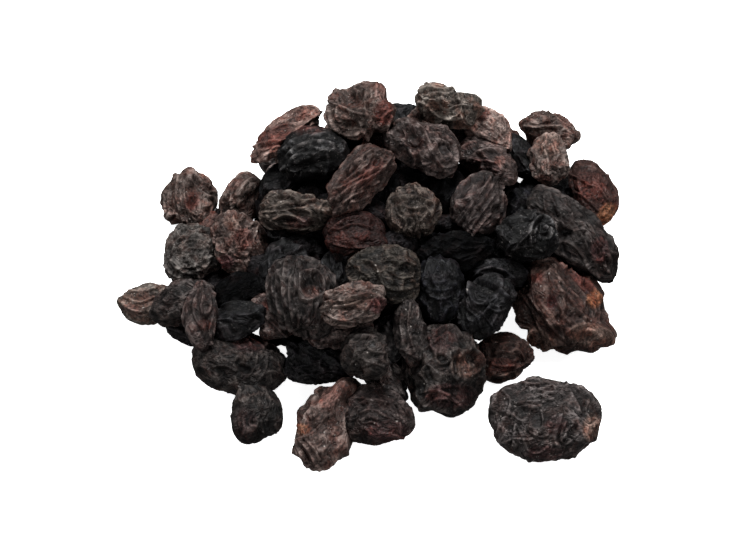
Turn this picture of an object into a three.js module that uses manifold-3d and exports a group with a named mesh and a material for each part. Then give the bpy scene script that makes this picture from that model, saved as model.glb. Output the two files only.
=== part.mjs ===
// A loose heap of dark seedless raisins with one raisin lying apart. Millimetres, +Z up, floor at z = 0.
import * as THREE from 'three';
import { mergeVertices } from 'three/addons/utils/BufferGeometryUtils.js';
import Module from 'manifold-3d';

const wasm = await Module();
wasm.setup();

// Sight line on which the heap was laid out: picture size, focal length in picture points,
// distance, angle above the floor and the floor point at the picture's middle.
const VIEW_WIDTH = 738;
const VIEW_HEIGHT = 554;
const FOCAL_POINTS = 1742.5;
const VIEW_DISTANCE = 314;
const VIEW_RISE = 50;
const VIEW_AIM = [-1, 5.5, 0];

// Height of one layer of raisins in the heap.
const LAYER = 5.3;

// How far the outer raisins lean outward, the ellipse of the heap that sets the lean,
// and the layer up to which raisins lie flat.
const LEAN = 0.6;
const LEAN_RING = 0.75;
const LEAN_BAND = 0.5;
const HEAP_HALF_X = 42;
const HEAP_HALF_Y = 37;
const HEAP_MIDDLE = [1, 4];
const FLAT_LAYER = 0.3;

// Inner mound that carries the raisins.
const CORE_HALF_X = 30;
const CORE_HALF_Y = 25;
const CORE_HEIGHT = 13;
const CORE_MIDDLE = [0, 8];
const CORE_SIDES = 20;
const CORE_RINGS = [1, 0.9, 0.7, 0.4];
const CORE_FALL = 2.4;

// Settling: share of full touching distance, rounds, and how firmly each raisin keeps its place.
const TOUCH = 0.88;
const ROUNDS = 160;
const PUSH = 0.25;
const HOLD_LOOSE = 0.05;
const HOLD_ALONG = 0.04;
const HOLD_ACROSS = 0.35;
const SINK = 0.25;

// Lumps of one raisin: number of waves, their strength and how closely they follow each other.
const WAVES = 4;
const WAVE_DEPTH = [0.045, 0.08];
const WAVE_RATE = [2.2, 3.9];

// Facets along an icosahedron edge, less one, and the growth that makes up for flat facets.
const SEEN_DETAIL = 2;
const SMALL_DETAIL = 1;
const SMALL_LENGTH = 13.9;
const APART_DETAIL = 4;
const FACET_GROWTH = 0.12;

// Corners closer than this are one corner.
const WELD = 1e-4;

// Edge of the block that cuts the undersides flat.
const FLOOR_BLOCK = 300;

// Repeatable draws: what turns a seed into the first state, and a state into the next one.
const SEED_FACTOR = 7919;
const SEED_STEP = 12345;
const DRAW_FACTOR = 1664525;
const DRAW_STEP = 1013904223;
const DRAW_RANGE = 2 ** 32;

// Plain skin colours of the two bodies, and their roughness.
const HEAP_COLOUR = 0x4a4142;
const APART_COLOUR = 0x4c4647;
const SKIN_ROUGHNESS = 0.6;

// Raisins that show: name, picture point across and down, length, width, thickness,
// turn of the long axis in the picture in degrees, layer above the floor.
const SEEN = [
  ['left_back', 190, 196, 13.8, 9.1, 8, 95, 0],
  ['left_mid', 195, 253, 12.3, 10.2, 8, 60, 0.3],
  ['left_tip', 156, 304, 12.0, 7.7, 7, 4, 0],
  ['left_under', 189, 326, 9.4, 6.4, 5.5, -20, 0],
  ['front_black', 316, 361, 13.0, 8.4, 6.5, -8, 0.3],
  ['front_left', 242, 366, 15.2, 12.8, 9.5, -6, 0.3],
  ['front_small', 254, 401, 10.2, 8.2, 7.2, 97, 0],
  ['front_brown', 326, 425, 16, 9.8, 7.5, 74, 0],
  ['front_round', 373, 413, 12.2, 10.8, 8.5, -14, 0],
  ['front_big', 441, 365, 15.4, 14, 10.5, 85, 0.4],
  ['front_right', 506, 357, 10.5, 8.8, 8, 0, 0],
  ['right_big', 560, 303, 19.4, 16.2, 10.5, 112, 0],
  ['right_back', 590, 195, 14.3, 11, 9, 94, 0],
  ['back_dark', 521, 158, 10, 7.5, 7, 120, 0.7],
  ['back_gap', 519, 212, 9, 7, 6.5, 90, 0.3],
  ['back_grey', 551, 131, 11.2, 8.2, 7, -8, 0.9],
  ['back_olive', 241, 197, 11, 9, 7.5, 60, 0.5],
  ['left_black', 239, 297, 11.5, 9, 7.5, 40, 0.9],
  ['left_floor', 236, 321, 11, 7, 6, 0, 1],
  ['mid_pebble', 386, 381, 8.5, 6.5, 5.5, 120, 0.5],
  ['back_slab', 281, 184, 11.5, 8, 6.5, 35, 1.6],
  ['back_long', 289, 134, 18.4, 8.8, 7.5, 33, 2],
  ['left_inner', 178, 303, 11.5, 7.4, 6, 20, 0.7],
  ['left_ridge', 204, 312, 12.5, 6.5, 5.5, 95, 1.2],
  ['left_pink', 238, 243, 13.5, 9, 7.5, 100, 1],
  ['right_fold', 578, 237, 20, 10.2, 8.5, -44, 1],
  ['back_post', 548, 160, 12.5, 8, 7, 95, 1.3],
  ['mid_black', 442, 288, 11.5, 9, 7.5, 80, 1.6],
  ['right_black', 486, 303, 13, 9.4, 8, 64, 1.2],
  ['mid_stripe', 459, 252, 14.5, 8, 7, 8, 1.9],
  ['right_cap', 493, 275, 9.5, 6, 5, -8, 1.8],
  ['right_curl', 528, 239, 13, 9, 7.5, 15, 1.6],
  ['mid_low', 340, 275, 9.5, 6, 5.5, 90, 1.6],
  ['mid_fan', 387, 337, 10.5, 6, 5.5, 75, 1.1],
  ['mid_under', 338, 332, 12.5, 7, 6, 8, 1.5],
  ['mid_knob', 366, 353, 9.5, 8.5, 7.5, 20, 1.3],
  ['mid_post', 412, 331, 12, 5.5, 5.5, 92, 1.6],
  ['left_wedge', 270, 314, 11, 6, 5.5, -52, 1],
  ['mid_leaf', 285, 267, 11.5, 8, 6.5, 50, 1.6],
  ['mid_deep', 350, 203, 10, 6, 5.5, 10, 1.8],
  ['back_nub', 487, 160, 11.2, 6.8, 6, -28, 1.8],
  ['back_red', 488, 133, 12.6, 8.2, 7, -35, 2.1],
  ['back_rim', 427, 126, 11.5, 6.5, 6, -25, 2],
  ['back_peak', 446, 107, 13.4, 8.6, 7.5, -22, 2.6],
  ['back_dent', 424, 147, 13.8, 11.8, 9, -38, 2.5],
  ['back_coal', 313, 158, 12, 10.8, 8.5, 20, 2.5],
  ['back_tall', 361, 114, 13.4, 12.2, 9.5, 100, 2.8],
  ['mid_rose', 362, 180, 15, 9, 7.5, 50, 2.7],
  ['mid_slate', 293, 211, 14, 8, 7, -4, 2.1],
  ['mid_red', 356, 235, 12.5, 8, 7, -8, 2.2],
  ['mid_cube', 413, 214, 10.5, 9.5, 8, 90, 2.2],
  ['mid_fleck', 385, 275, 14, 9.3, 8, -8, 2.2],
  ['right_leaf', 479, 206, 15, 9, 7.5, 52, 2.2],
  ['mid_great', 305, 300, 16, 11.4, 9, 98, 2.1],
  ['mid_olive', 350, 306, 13, 6.5, 6, 8, 2.2],
  ['mid_shade', 296, 237, 11, 6, 5.5, 0, 1.3],
  ['mid_shaft', 384, 192, 10.5, 7, 6.5, 90, 1.9],
  ['mid_dusk', 412, 180, 11, 7.5, 6.5, 10, 2],
  ['mid_night', 449, 190, 10.5, 7.5, 6.5, 85, 1.8],
  ['right_plug', 508, 250, 9.5, 7.5, 6.5, 60, 1.2],
];
const APART = ['apart', 543, 417, 18.0, 16.2, 11, 2, 0];

// Raisins hidden from that sight line: name, place across and back, length, width, thickness, turn, layer.
const FAR = [
  ['far_a', -16, 26.5, 9, 7, 6, 40, 0],
  ['far_b', -15.5, 32.5, 11.5, 9, 7.5, 5, 0],
  ['far_c', -6, 36.5, 12, 9.5, 8, 100, 0],
  ['far_d', 4, 36.5, 12.5, 9, 8, 75, 0],
  ['far_e', 13.5, 37, 12, 9.5, 8, 150, 0],
  ['far_f', 22.5, 34, 11.5, 9, 7.5, 10, 0],
  ['far_g', -12, 29, 12, 9, 7.5, 30, 1],
  ['far_h', 3, 31, 13, 9.5, 8, 120, 0.9],
  ['far_i', 14, 31, 12, 9, 7.5, 60, 1.2],
  ['far_j', -4, 32.5, 11.5, 8.5, 7.5, 15, 1.1],
  ['far_k', 21, 28, 11, 8.5, 7, 85, 0.9],
  ['far_l', 32, 20.5, 11, 8.5, 7, 25, 0],
  ['far_m', 30.5, 31, 10, 8, 7, 90, 0],
  ['far_n', -29, 13.5, 9.5, 7.5, 6, 75, 0],
  ['far_o', 30, 6, 10.5, 8, 7, 70, 0],
  ['far_p', -29.5, 5.5, 9, 7, 6, 60, 0],
];

const add = (a, b, share = 1) => a.map((value, i) => value + b[i] * share);
const dot = (a, b) => a[0] * b[0] + a[1] * b[1] + a[2] * b[2];
const size = (a) => Math.sqrt(dot(a, a));
const unit = (a) => a.map((value) => value / size(a));
const cross = (a, b) => [
  a[1] * b[2] - a[2] * b[1],
  a[2] * b[0] - a[0] * b[2],
  a[0] * b[1] - a[1] * b[0],
];

const rise = VIEW_RISE * Math.PI / 180;
const VIEW_RIGHT = [1, 0, 0];
const VIEW_UP = [0, Math.sin(rise), Math.cos(rise)];
const VIEW_FORWARD = [0, Math.cos(rise), -Math.sin(rise)];
const EYE = add(VIEW_AIM, VIEW_FORWARD, -VIEW_DISTANCE);

// Repeatable draws between 0 and 1.
function draws(seed) {
  let state = (seed * SEED_FACTOR + SEED_STEP) % DRAW_RANGE;
  const next = () => {
    state = (state * DRAW_FACTOR + DRAW_STEP) % DRAW_RANGE;
    return state / DRAW_RANGE;
  };
  next();
  next();
  return next;
}

// Direction from the eye through a picture point.
function sight(across, down) {
  const right = (across - VIEW_WIDTH / 2) / FOCAL_POINTS;
  const up = (VIEW_HEIGHT / 2 - down) / FOCAL_POINTS;
  return add(add(VIEW_FORWARD, VIEW_RIGHT, right), VIEW_UP, up);
}

// Direction in which a raisin's flat side faces at one place of the heap.
function facing(x, y, layer) {
  if (layer <= FLAT_LAYER) {
    return [0, 0, 1];
  }
  const dx = (x - HEAP_MIDDLE[0]) / HEAP_HALF_X;
  const dy = (y - HEAP_MIDDLE[1]) / HEAP_HALF_Y;
  const ring = Math.hypot(dx, dy);
  const lean = LEAN * Math.max(0, 1 - Math.abs(ring - LEAN_RING) / LEAN_BAND) / Math.max(ring, 1e-6);
  return unit([dx * lean, dy * lean, 1]);
}

// Long, cross and thickness axes from the facing and a direction that the long axis follows.
function axesOf(normal, long) {
  const first = unit(add(long, normal, -dot(long, normal)));
  return [first, cross(normal, first), normal];
}

function seenRaisin([name, across, down, length, width, thick, turn, layer]) {
  const line = sight(across, down);
  const height = thick / 2 + LAYER * layer;
  const place = add(EYE, line, (EYE[2] - height) / -line[2]);
  const normal = facing(place[0], place[1], layer);
  const angle = turn * Math.PI / 180;
  const drawn = add(VIEW_RIGHT.map((value) => value * Math.cos(angle)), VIEW_UP, Math.sin(angle));
  const look = unit(line);
  const long = add(drawn, look, -dot(drawn, normal) / dot(look, normal));
  const half = [length / 2, width / 2, thick / 2];
  return { name, place, axes: axesOf(normal, long), half, loose: false, grounded: layer === 0 };
}

function farRaisin([name, x, y, length, width, thick, turn, layer]) {
  const place = [x, y, thick / 2 + LAYER * layer];
  const angle = turn * Math.PI / 180;
  const normal = facing(x, y, layer);
  const axes = axesOf(normal, [Math.cos(angle), Math.sin(angle), 0]);
  const half = [length / 2, width / 2, thick / 2];
  return { name, place, axes, half, loose: true, grounded: layer === 0 };
}

// Distance from a raisin's middle to its skin along one direction.
function reach(raisin, direction) {
  const parts = raisin.axes.map((axis, i) => dot(axis, direction) / raisin.half[i]);
  return 1 / size(parts);
}

// Height of a raisin's middle above its lowest point.
function drop(raisin) {
  return size(raisin.axes.map((axis, i) => axis[2] * raisin.half[i]));
}

// Pushes the raisins apart until they only press on each other, each kept near its sight line.
function settle(raisins) {
  const goals = raisins.map((raisin) => raisin.place);
  const lines = raisins.map((raisin) => unit(add(raisin.place, EYE, -1)));
  for (let round = 0; round < ROUNDS; round += 1) {
    const moves = raisins.map(() => [0, 0, 0]);
    raisins.forEach((one, i) => {
      for (let j = i + 1; j < raisins.length; j += 1) {
        const other = raisins[j];
        const apart = add(other.place, one.place, -1);
        const distance = size(apart);
        if (distance <= one.half[0] + other.half[0]) {
          const direction = unit(apart);
          const overlap = TOUCH * (reach(one, direction) + reach(other, direction)) - distance;
          if (overlap > 0) {
            moves[i] = add(moves[i], direction, -overlap * PUSH);
            moves[j] = add(moves[j], direction, overlap * PUSH);
          }
        }
      }
    });
    raisins.forEach((raisin, i) => {
      const pull = add(goals[i], raisin.place, -1);
      const depth = dot(pull, lines[i]);
      let move = moves[i];
      if (raisin.loose) {
        move = add(move, pull, HOLD_LOOSE);
      } else {
        move = add(move, lines[i], depth * (HOLD_ALONG - HOLD_ACROSS));
        move = add(move, pull, HOLD_ACROSS);
      }
      raisin.place = add(raisin.place, move);
      raisin.place[2] = Math.max(raisin.place[2], drop(raisin) - SINK);
    });
  }
}

// Waves that make one raisin lumpy.
function wavesOf(seed) {
  const next = draws(seed);
  return Array.from({ length: WAVES }, () => {
    const height = 2 * next() - 1;
    const around = 2 * Math.PI * next();
    const flat = Math.sqrt(1 - height * height);
    const rate = WAVE_RATE[0] + (WAVE_RATE[1] - WAVE_RATE[0]) * next();
    const depth = WAVE_DEPTH[0] + (WAVE_DEPTH[1] - WAVE_DEPTH[0]) * next();
    const way = [flat * Math.cos(around) * rate, flat * Math.sin(around) * rate, height * rate];
    return { way, depth, start: 2 * Math.PI * next() };
  });
}

// Closed body from points and triangles of a geometry.
function solidOf(geometry) {
  geometry.deleteAttribute('normal');
  geometry.deleteAttribute('uv');
  const merged = mergeVertices(geometry, WELD);
  return new wasm.Manifold(new wasm.Mesh({
    numProp: 3,
    vertProperties: Float32Array.from(merged.attributes.position.array),
    triVerts: Uint32Array.from(merged.index.array),
  }));
}

function raisinSolid(raisin, seed, detail) {
  const geometry = new THREE.IcosahedronGeometry(1, detail);
  const points = geometry.attributes.position;
  const waves = wavesOf(seed);
  const growth = 1 + FACET_GROWTH / (detail + 1) ** 2;
  for (let i = 0; i < points.count; i += 1) {
    const way = unit([points.getX(i), points.getY(i), points.getZ(i)]);
    const lumps = waves.map((wave) => wave.depth * Math.sin(dot(wave.way, way) + wave.start));
    const lump = lumps.reduce((sum, value) => sum + value, growth);
    let spot = raisin.place;
    raisin.axes.forEach((axis, k) => {
      spot = add(spot, axis, way[k] * raisin.half[k] * lump);
    });
    points.setXYZ(i, ...spot);
  }
  if (raisin.grounded) {
    geometry.computeBoundingBox();
    geometry.translate(0, 0, -SINK - geometry.boundingBox.min.z);
  }
  return solidOf(geometry);
}

// Rounded mound with a flat underside, built as rings from the floor to the crown.
function coreSolid() {
  const points = [CORE_MIDDLE[0], CORE_MIDDLE[1], 0, CORE_MIDDLE[0], CORE_MIDDLE[1], CORE_HEIGHT];
  const faces = [];
  CORE_RINGS.forEach((ring, level) => {
    const height = CORE_HEIGHT * (1 - ring ** CORE_FALL);
    for (let side = 0; side < CORE_SIDES; side += 1) {
      const angle = 2 * Math.PI * side / CORE_SIDES;
      const x = CORE_MIDDLE[0] + CORE_HALF_X * ring * Math.cos(angle);
      const y = CORE_MIDDLE[1] + CORE_HALF_Y * ring * Math.sin(angle);
      points.push(x, y, height);
      const here = 2 + level * CORE_SIDES + side;
      const beside = 2 + level * CORE_SIDES + (side + 1) % CORE_SIDES;
      if (level === 0) {
        faces.push(0, beside, here);
      }
      if (level + 1 < CORE_RINGS.length) {
        faces.push(here, beside, beside + CORE_SIDES, here, beside + CORE_SIDES, here + CORE_SIDES);
      } else {
        faces.push(here, beside, 1);
      }
    }
  });
  return new wasm.Manifold(new wasm.Mesh({
    numProp: 3,
    vertProperties: Float32Array.from(points),
    triVerts: Uint32Array.from(faces),
  }));
}

// Block under the floor that cuts every underside flat.
function floorBlock() {
  const geometry = new THREE.BoxGeometry(FLOOR_BLOCK, FLOOR_BLOCK, FLOOR_BLOCK);
  geometry.translate(0, 0, -FLOOR_BLOCK / 2);
  return solidOf(geometry);
}

// Cuts a body off at the floor and keeps its largest piece, with sealed hollows filled.
function standing(solid) {
  const pieces = solid.subtract(floorBlock()).decompose();
  return pieces.reduce((best, piece) => (piece.volume() > best.volume() ? piece : best));
}

function meshOf(name, solid, colour) {
  const mesh = solid.getMesh();
  const geometry = new THREE.BufferGeometry();
  geometry.setAttribute('position', new THREE.BufferAttribute(Float32Array.from(mesh.vertProperties), 3));
  geometry.setIndex(new THREE.BufferAttribute(Uint32Array.from(mesh.triVerts), 1));
  geometry.computeVertexNormals();
  const skin = { color: colour, roughness: SKIN_ROUGHNESS, metalness: 0 };
  const material = new THREE.MeshStandardMaterial(skin);
  const result = new THREE.Mesh(geometry, material);
  result.name = name;
  return result;
}

const heapRaisins = [...SEEN.map(seenRaisin), ...FAR.map(farRaisin)];
const apartRaisin = seenRaisin(APART);
settle([...heapRaisins, apartRaisin]);

const heapSolids = heapRaisins.map((raisin, i) => {
  const small = raisin.loose || raisin.half[0] * 2 < SMALL_LENGTH;
  return raisinSolid(raisin, i + 1, small ? SMALL_DETAIL : SEEN_DETAIL);
});
const heap = standing(wasm.Manifold.union([coreSolid(), ...heapSolids]));
const apart = standing(raisinSolid(apartRaisin, heapRaisins.length + 1, APART_DETAIL));

const part = new THREE.Group();
part.name = 'raisins';
part.add(meshOf('heap', heap, HEAP_COLOUR));
part.add(meshOf('raisin_apart', apart, APART_COLOUR));

export default part;
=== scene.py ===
import math

import bpy
import numpy as np
from mathutils import Matrix, Vector


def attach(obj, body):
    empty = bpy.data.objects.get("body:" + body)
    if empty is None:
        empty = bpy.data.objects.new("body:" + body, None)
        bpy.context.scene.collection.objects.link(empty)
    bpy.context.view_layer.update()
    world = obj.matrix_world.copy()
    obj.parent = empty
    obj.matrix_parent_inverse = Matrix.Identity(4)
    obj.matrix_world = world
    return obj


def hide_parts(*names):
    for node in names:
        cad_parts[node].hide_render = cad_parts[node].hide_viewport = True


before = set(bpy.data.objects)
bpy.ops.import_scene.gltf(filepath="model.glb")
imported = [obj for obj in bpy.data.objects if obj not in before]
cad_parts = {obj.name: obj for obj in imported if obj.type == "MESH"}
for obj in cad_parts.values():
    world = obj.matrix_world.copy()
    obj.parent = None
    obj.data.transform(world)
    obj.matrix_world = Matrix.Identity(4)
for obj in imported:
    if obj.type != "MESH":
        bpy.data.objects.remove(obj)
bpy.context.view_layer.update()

MM = 0.001

# Sight line on which the heap is laid out, as in the photograph.
VIEW_WIDTH = 738
VIEW_HEIGHT = 554
FOCAL_POINTS = 1742.5
VIEW_DISTANCE = 314
VIEW_RISE = math.radians(50)
VIEW_AIM = Vector((-1, 5.5, 0))
SENSOR_WIDTH = 36.0
CLIP_ENDS = (0.01, 10.0)

# Random numbers: the same seed gives the same numbers each run.
SEED_FACTOR = 7919
SEED_STEP = 12345
DRAW_FACTOR = 1664525
DRAW_STEP = 1013904223
DRAW_RANGE = 4294967296

# Height of one layer of raisins, and the lean of the outer ones above the lowest layer.
LAYER = 5.3
FLAT_LAYER = 0.3
LEAN = 0.6
LEAN_RING = 0.75
LEAN_BAND = 0.5
HEAP_HALF_X = 42
HEAP_HALF_Y = 37
HEAP_MIDDLE = (1, 4)

# Inner mound that carries the raisins.
CORE_HALF_X = 30
CORE_HALF_Y = 25
CORE_HEIGHT = 13
CORE_MIDDLE = (0, 8)
CORE_FALL = 2.4

# Small raisins that fill the depth of the heap under the others: spacing and shake of their grid,
# length, width and thickness beside the length, share of those painted near black as shade and of the
# crinkled ones, and for each layer its rim on the inner mound and its place between the floor and the
# mound's skin.
FILL_SPACING = 7.6
FILL_SHIFT = 1.6
FILL_LENGTH = (8.5, 10.5)
FILL_WIDTH = 0.72
FILL_THICKNESS = 0.62
FILL_PAINTED_SHADE = 0.8
FILL_CRINKLED = 0.3
FILL_LAYERS = ((0.97, 0.0), (0.84, 1.0))
FILL_LIFT = 0.4
FILL_GRID_SEED = 4711
FILL_SKIN_SEED = 101

# Mound painted dark as shade that closes the depth of the heap: half sizes, height, steps, and its lumps.
HEART_HALF_X = 25.5
HEART_HALF_Y = 21
HEART_HEIGHT = 12
HEART_STEPS = (24, 72)
HEART_LUMP = 1.2
HEART_RATE = (0.8, 0.9)

# Settling: share of full touching distance, rounds, and how firmly each raisin keeps its place.
TOUCH = 0.88
ROUNDS = 160
PUSH = 0.25
HOLD_LOOSE = 0.05
HOLD_ALONG = 0.04
HOLD_ACROSS = 0.35
SINK = 0.25

# Lumps of one raisin.
WAVES = 4
WAVE_DEPTH = (0.045, 0.08)
WAVE_RATE = (2.2, 3.9)

# Raisins with the finest skin: from this half length on, and some small ones that stand out.
LARGE_HALF = 6.5
LARGE_TOO = ("back_grey", "mid_cube", "left_mid", "front_round", "mid_red")

# Skin colours, linear: of the skin, and of its dusted crests, whose colour also carries a painted sheen.
COLOURS = {
    # The first two skins are near black: painted shade for the raisins in the gaps and in the depth of the
    # heap.
    "deep": ((0.0006, 0.0006, 0.0007), (0.003, 0.003, 0.003)),
    "gloom": ((0.0030, 0.0027, 0.0029), (0.008, 0.0075, 0.008)),
    "coal": ((0.0008, 0.0008, 0.0011), (0.018, 0.018, 0.022)),
    "black": ((0.0013, 0.0013, 0.0016), (0.034, 0.032, 0.034)),
    "frosted": ((0.0012, 0.0011, 0.0013), (0.080, 0.074, 0.073)),
    "soot": ((0.0028, 0.0022, 0.0021), (0.057, 0.048, 0.044)),
    "slate": ((0.0040, 0.0030, 0.0029), (0.078, 0.066, 0.062)),
    "dusk": ((0.0058, 0.0038, 0.0036), (0.096, 0.075, 0.070)),
    "ash": ((0.0080, 0.0064, 0.0062), (0.150, 0.130, 0.126)),
    "ink": ((0.0009, 0.0009, 0.0012), (0.120, 0.115, 0.114)),
    "stone": ((0.0105, 0.0088, 0.0080), (0.135, 0.122, 0.113)),
    "shell": ((0.0370, 0.0295, 0.0250), (0.285, 0.250, 0.222)),
    "grey": ((0.0092, 0.0061, 0.0056), (0.146, 0.114, 0.106)),
    "taupe": ((0.0205, 0.0130, 0.0110), (0.195, 0.156, 0.140)),
    "hazel": ((0.0165, 0.0098, 0.0083), (0.160, 0.122, 0.109)),
    "buff": ((0.0310, 0.0210, 0.0182), (0.250, 0.206, 0.186)),
    "blush": ((0.0420, 0.0240, 0.0200), (0.330, 0.240, 0.210)),
    "rose": ((0.0500, 0.0325, 0.0280), (0.385, 0.305, 0.272)),
    "umber": ((0.0125, 0.0070, 0.0060), (0.110, 0.080, 0.071)),
    "chestnut": ((0.0105, 0.0056, 0.0047), (0.082, 0.056, 0.048)),
    "brown": ((0.0185, 0.0085, 0.0070), (0.115, 0.068, 0.058)),
    "russet": ((0.0135, 0.0060, 0.0050), (0.062, 0.036, 0.031)),
    "garnet": ((0.0078, 0.0030, 0.0026), (0.030, 0.014, 0.012)),
    "olive": ((0.0082, 0.0060, 0.0050), (0.140, 0.115, 0.099)),
    "moss": ((0.0042, 0.0034, 0.0028), (0.072, 0.062, 0.053)),
}

# How much of the painted shade in the hollows and the painted light on the crests a skin gives up,
# so that it is coloured more evenly, from 0 to 1.
EVENNESS = {
    "slate": 0.1, "dusk": 0.2, "grey": 0.3, "ash": 0.3, "stone": 0.4, "olive": 0.2, "taupe": 0.45,
    "hazel": 0.45, "buff": 0.5, "shell": 0.5, "blush": 0.5, "rose": 0.5, "umber": 0.45, "chestnut": 0.45,
    "brown": 0.45, "russet": 0.7, "garnet": 0.7,
}

# How much of the net of fine creases is missing on a skin, from 0 to 1.
CALMNESS = {
    "ink": 0.75, "black": 0.45, "coal": 0.4, "shell": 0.5, "buff": 0.3, "garnet": 0.3, "chestnut": 0.2,
}

# Skin of one raisin in mm: size of its panels, width and height of the folds that frame them,
# depth of the panels, height of the fine lines beside the folds, height of the crinkle, depth
# of the splits, and how far all of it runs along the raisin (1 is no run at all).
FOLDS = {
    "bowl": (5.6, 0.30, 0.36, 0.85, 0.07, 0.06, 0.40, 0.90),
    "long": (3.4, 0.26, 0.36, 0.45, 0.10, 0.10, 0.60, 0.28),
    "crinkle": (2.8, 0.24, 0.28, 0.35, 0.08, 0.16, 0.40, 0.70),
    "panel": (4.4, 0.28, 0.32, 0.60, 0.08, 0.08, 0.50, 0.45),
    "curl": (3.6, 0.26, 0.34, 0.50, 0.12, 0.10, 0.50, 0.65),
    "plump": (4.0, 0.24, 0.20, 0.25, 0.08, 0.10, 0.35, 0.75),
}

# Raisins that show: name, picture point across and down, length, width, thickness,
# turn of the long axis in the picture in degrees, layer above the floor, colour, folding.
SEEN = (
    ("left_back", 190, 196, 13.8, 9.1, 8, 95, 0, "taupe", "panel"),
    ("left_mid", 195, 253, 12.3, 10.2, 8, 60, 0.3, "stone", "curl"),
    ("left_tip", 156, 304, 12.0, 7.7, 7, 4, 0, "shell", "panel"),
    ("left_under", 189, 326, 9.4, 6.4, 5.5, -20, 0, "black", "curl"),
    ("front_black", 316, 361, 13.0, 8.4, 6.5, -8, 0.3, "black", "crinkle"),
    ("front_left", 242, 366, 15.2, 12.8, 9.5, -6, 0.3, "soot", "plump"),
    ("front_small", 254, 401, 10.2, 8.2, 7.2, 97, 0, "soot", "plump"),
    ("front_brown", 326, 425, 16, 9.8, 7.5, 74, 0, "hazel", "panel"),
    ("front_round", 373, 413, 12.2, 10.8, 8.5, -14, 0, "dusk", "plump"),
    ("front_big", 441, 365, 15.4, 14, 10.5, 85, 0.4, "soot", "curl"),
    ("front_right", 506, 357, 10.5, 8.8, 8, 0, 0, "chestnut", "plump"),
    ("right_big", 560, 303, 19.4, 16.2, 10.5, 112, 0, "chestnut", "long"),
    ("right_back", 590, 195, 14.3, 11, 9, 94, 0, "russet", "plump"),
    ("back_dark", 521, 158, 10, 7.5, 7, 120, 0.7, "black", "crinkle"),
    ("back_gap", 519, 212, 9, 7, 6.5, 90, 0.3, "coal", "curl"),
    ("back_grey", 551, 131, 11.2, 8.2, 7, -8, 0.9, "taupe", "panel"),
    ("back_olive", 241, 197, 11, 9, 7.5, 60, 0.5, "taupe", "panel"),
    ("left_black", 239, 297, 11.5, 9, 7.5, 40, 0.9, "deep", "long"),
    ("left_floor", 236, 321, 11, 7, 6, 0, 1, "black", "long"),
    ("mid_pebble", 386, 381, 8.5, 6.5, 5.5, 120, 0.5, "slate", "crinkle"),
    ("back_slab", 281, 184, 11.5, 8, 6.5, 35, 1.6, "black", "panel"),
    ("back_long", 289, 134, 18.4, 8.8, 7.5, 33, 2, "blush", "panel"),
    ("left_inner", 178, 303, 11.5, 7.4, 6, 20, 0.7, "slate", "curl"),
    ("left_ridge", 204, 312, 12.5, 6.5, 5.5, 95, 1.2, "dusk", "long"),
    ("left_pink", 238, 243, 13.5, 9, 7.5, 100, 1, "hazel", "curl"),
    ("right_fold", 578, 237, 20, 10.2, 8.5, -44, 1, "slate", "long"),
    ("back_post", 548, 160, 12.5, 8, 7, 95, 1.3, "buff", "crinkle"),
    ("mid_black", 442, 288, 11.5, 9, 7.5, 80, 1.6, "coal", "crinkle"),
    ("right_black", 486, 303, 13, 9.4, 8, 64, 1.2, "black", "curl"),
    ("mid_stripe", 459, 252, 14.5, 8, 7, 8, 1.9, "deep", "long"),
    ("right_cap", 493, 275, 9.5, 6, 5, -8, 1.8, "black", "crinkle"),
    ("right_curl", 528, 239, 13, 9, 7.5, 15, 1.6, "ink", "curl"),
    ("mid_low", 340, 275, 9.5, 6, 5.5, 90, 1.6, "black", "long"),
    ("mid_fan", 387, 337, 10.5, 6, 5.5, 75, 1.1, "frosted", "long"),
    ("mid_under", 338, 332, 12.5, 7, 6, 8, 1.5, "grey", "curl"),
    ("mid_knob", 366, 353, 9.5, 8.5, 7.5, 20, 1.3, "soot", "crinkle"),
    ("mid_post", 412, 331, 12, 5.5, 5.5, 92, 1.6, "slate", "crinkle"),
    ("left_wedge", 270, 314, 11, 6, 5.5, -52, 1, "grey", "panel"),
    ("mid_leaf", 285, 267, 11.5, 8, 6.5, 50, 1.6, "black", "curl"),
    ("mid_deep", 350, 203, 10, 6, 5.5, 10, 1.8, "brown", "panel"),
    ("back_nub", 487, 160, 11.2, 6.8, 6, -28, 1.8, "grey", "crinkle"),
    ("back_red", 488, 133, 12.6, 8.2, 7, -35, 2.1, "rose", "panel"),
    ("back_rim", 427, 126, 11.5, 6.5, 6, -25, 2, "taupe", "panel"),
    ("back_peak", 446, 107, 13.4, 8.6, 7.5, -22, 2.6, "shell", "bowl"),
    ("back_dent", 424, 147, 13.8, 11.8, 9, -38, 2.5, "grey", "bowl"),
    ("back_coal", 313, 158, 12, 10.8, 8.5, 20, 2.5, "ink", "curl"),
    ("back_tall", 361, 114, 13.4, 12.2, 9.5, 100, 2.8, "taupe", "bowl"),
    ("mid_rose", 362, 180, 15, 9, 7.5, 50, 2.7, "umber", "long"),
    ("mid_slate", 293, 211, 14, 8, 7, -4, 2.1, "olive", "long"),
    ("mid_red", 356, 235, 12.5, 8, 7, -8, 2.2, "garnet", "plump"),
    ("mid_cube", 413, 214, 10.5, 9.5, 8, 90, 2.2, "olive", "crinkle"),
    ("mid_fleck", 385, 275, 14, 9.3, 8, -8, 2.2, "moss", "crinkle"),
    ("right_leaf", 479, 206, 15, 9, 7.5, 52, 2.2, "dusk", "long"),
    ("mid_great", 305, 300, 16, 11.4, 9, 98, 2.1, "slate", "long"),
    ("mid_olive", 350, 306, 13, 6.5, 6, 8, 2.2, "taupe", "curl"),
    ("mid_shade", 296, 237, 11, 6, 5.5, 0, 1.3, "black", "panel"),
    ("mid_shaft", 384, 192, 10.5, 7, 6.5, 90, 1.9, "deep", "panel"),
    ("mid_dusk", 412, 180, 11, 7.5, 6.5, 10, 2, "black", "panel"),
    ("mid_night", 449, 190, 10.5, 7.5, 6.5, 85, 1.8, "deep", "panel"),
    ("right_plug", 508, 250, 9.5, 7.5, 6.5, 60, 1.2, "black", "crinkle"),
)
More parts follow.
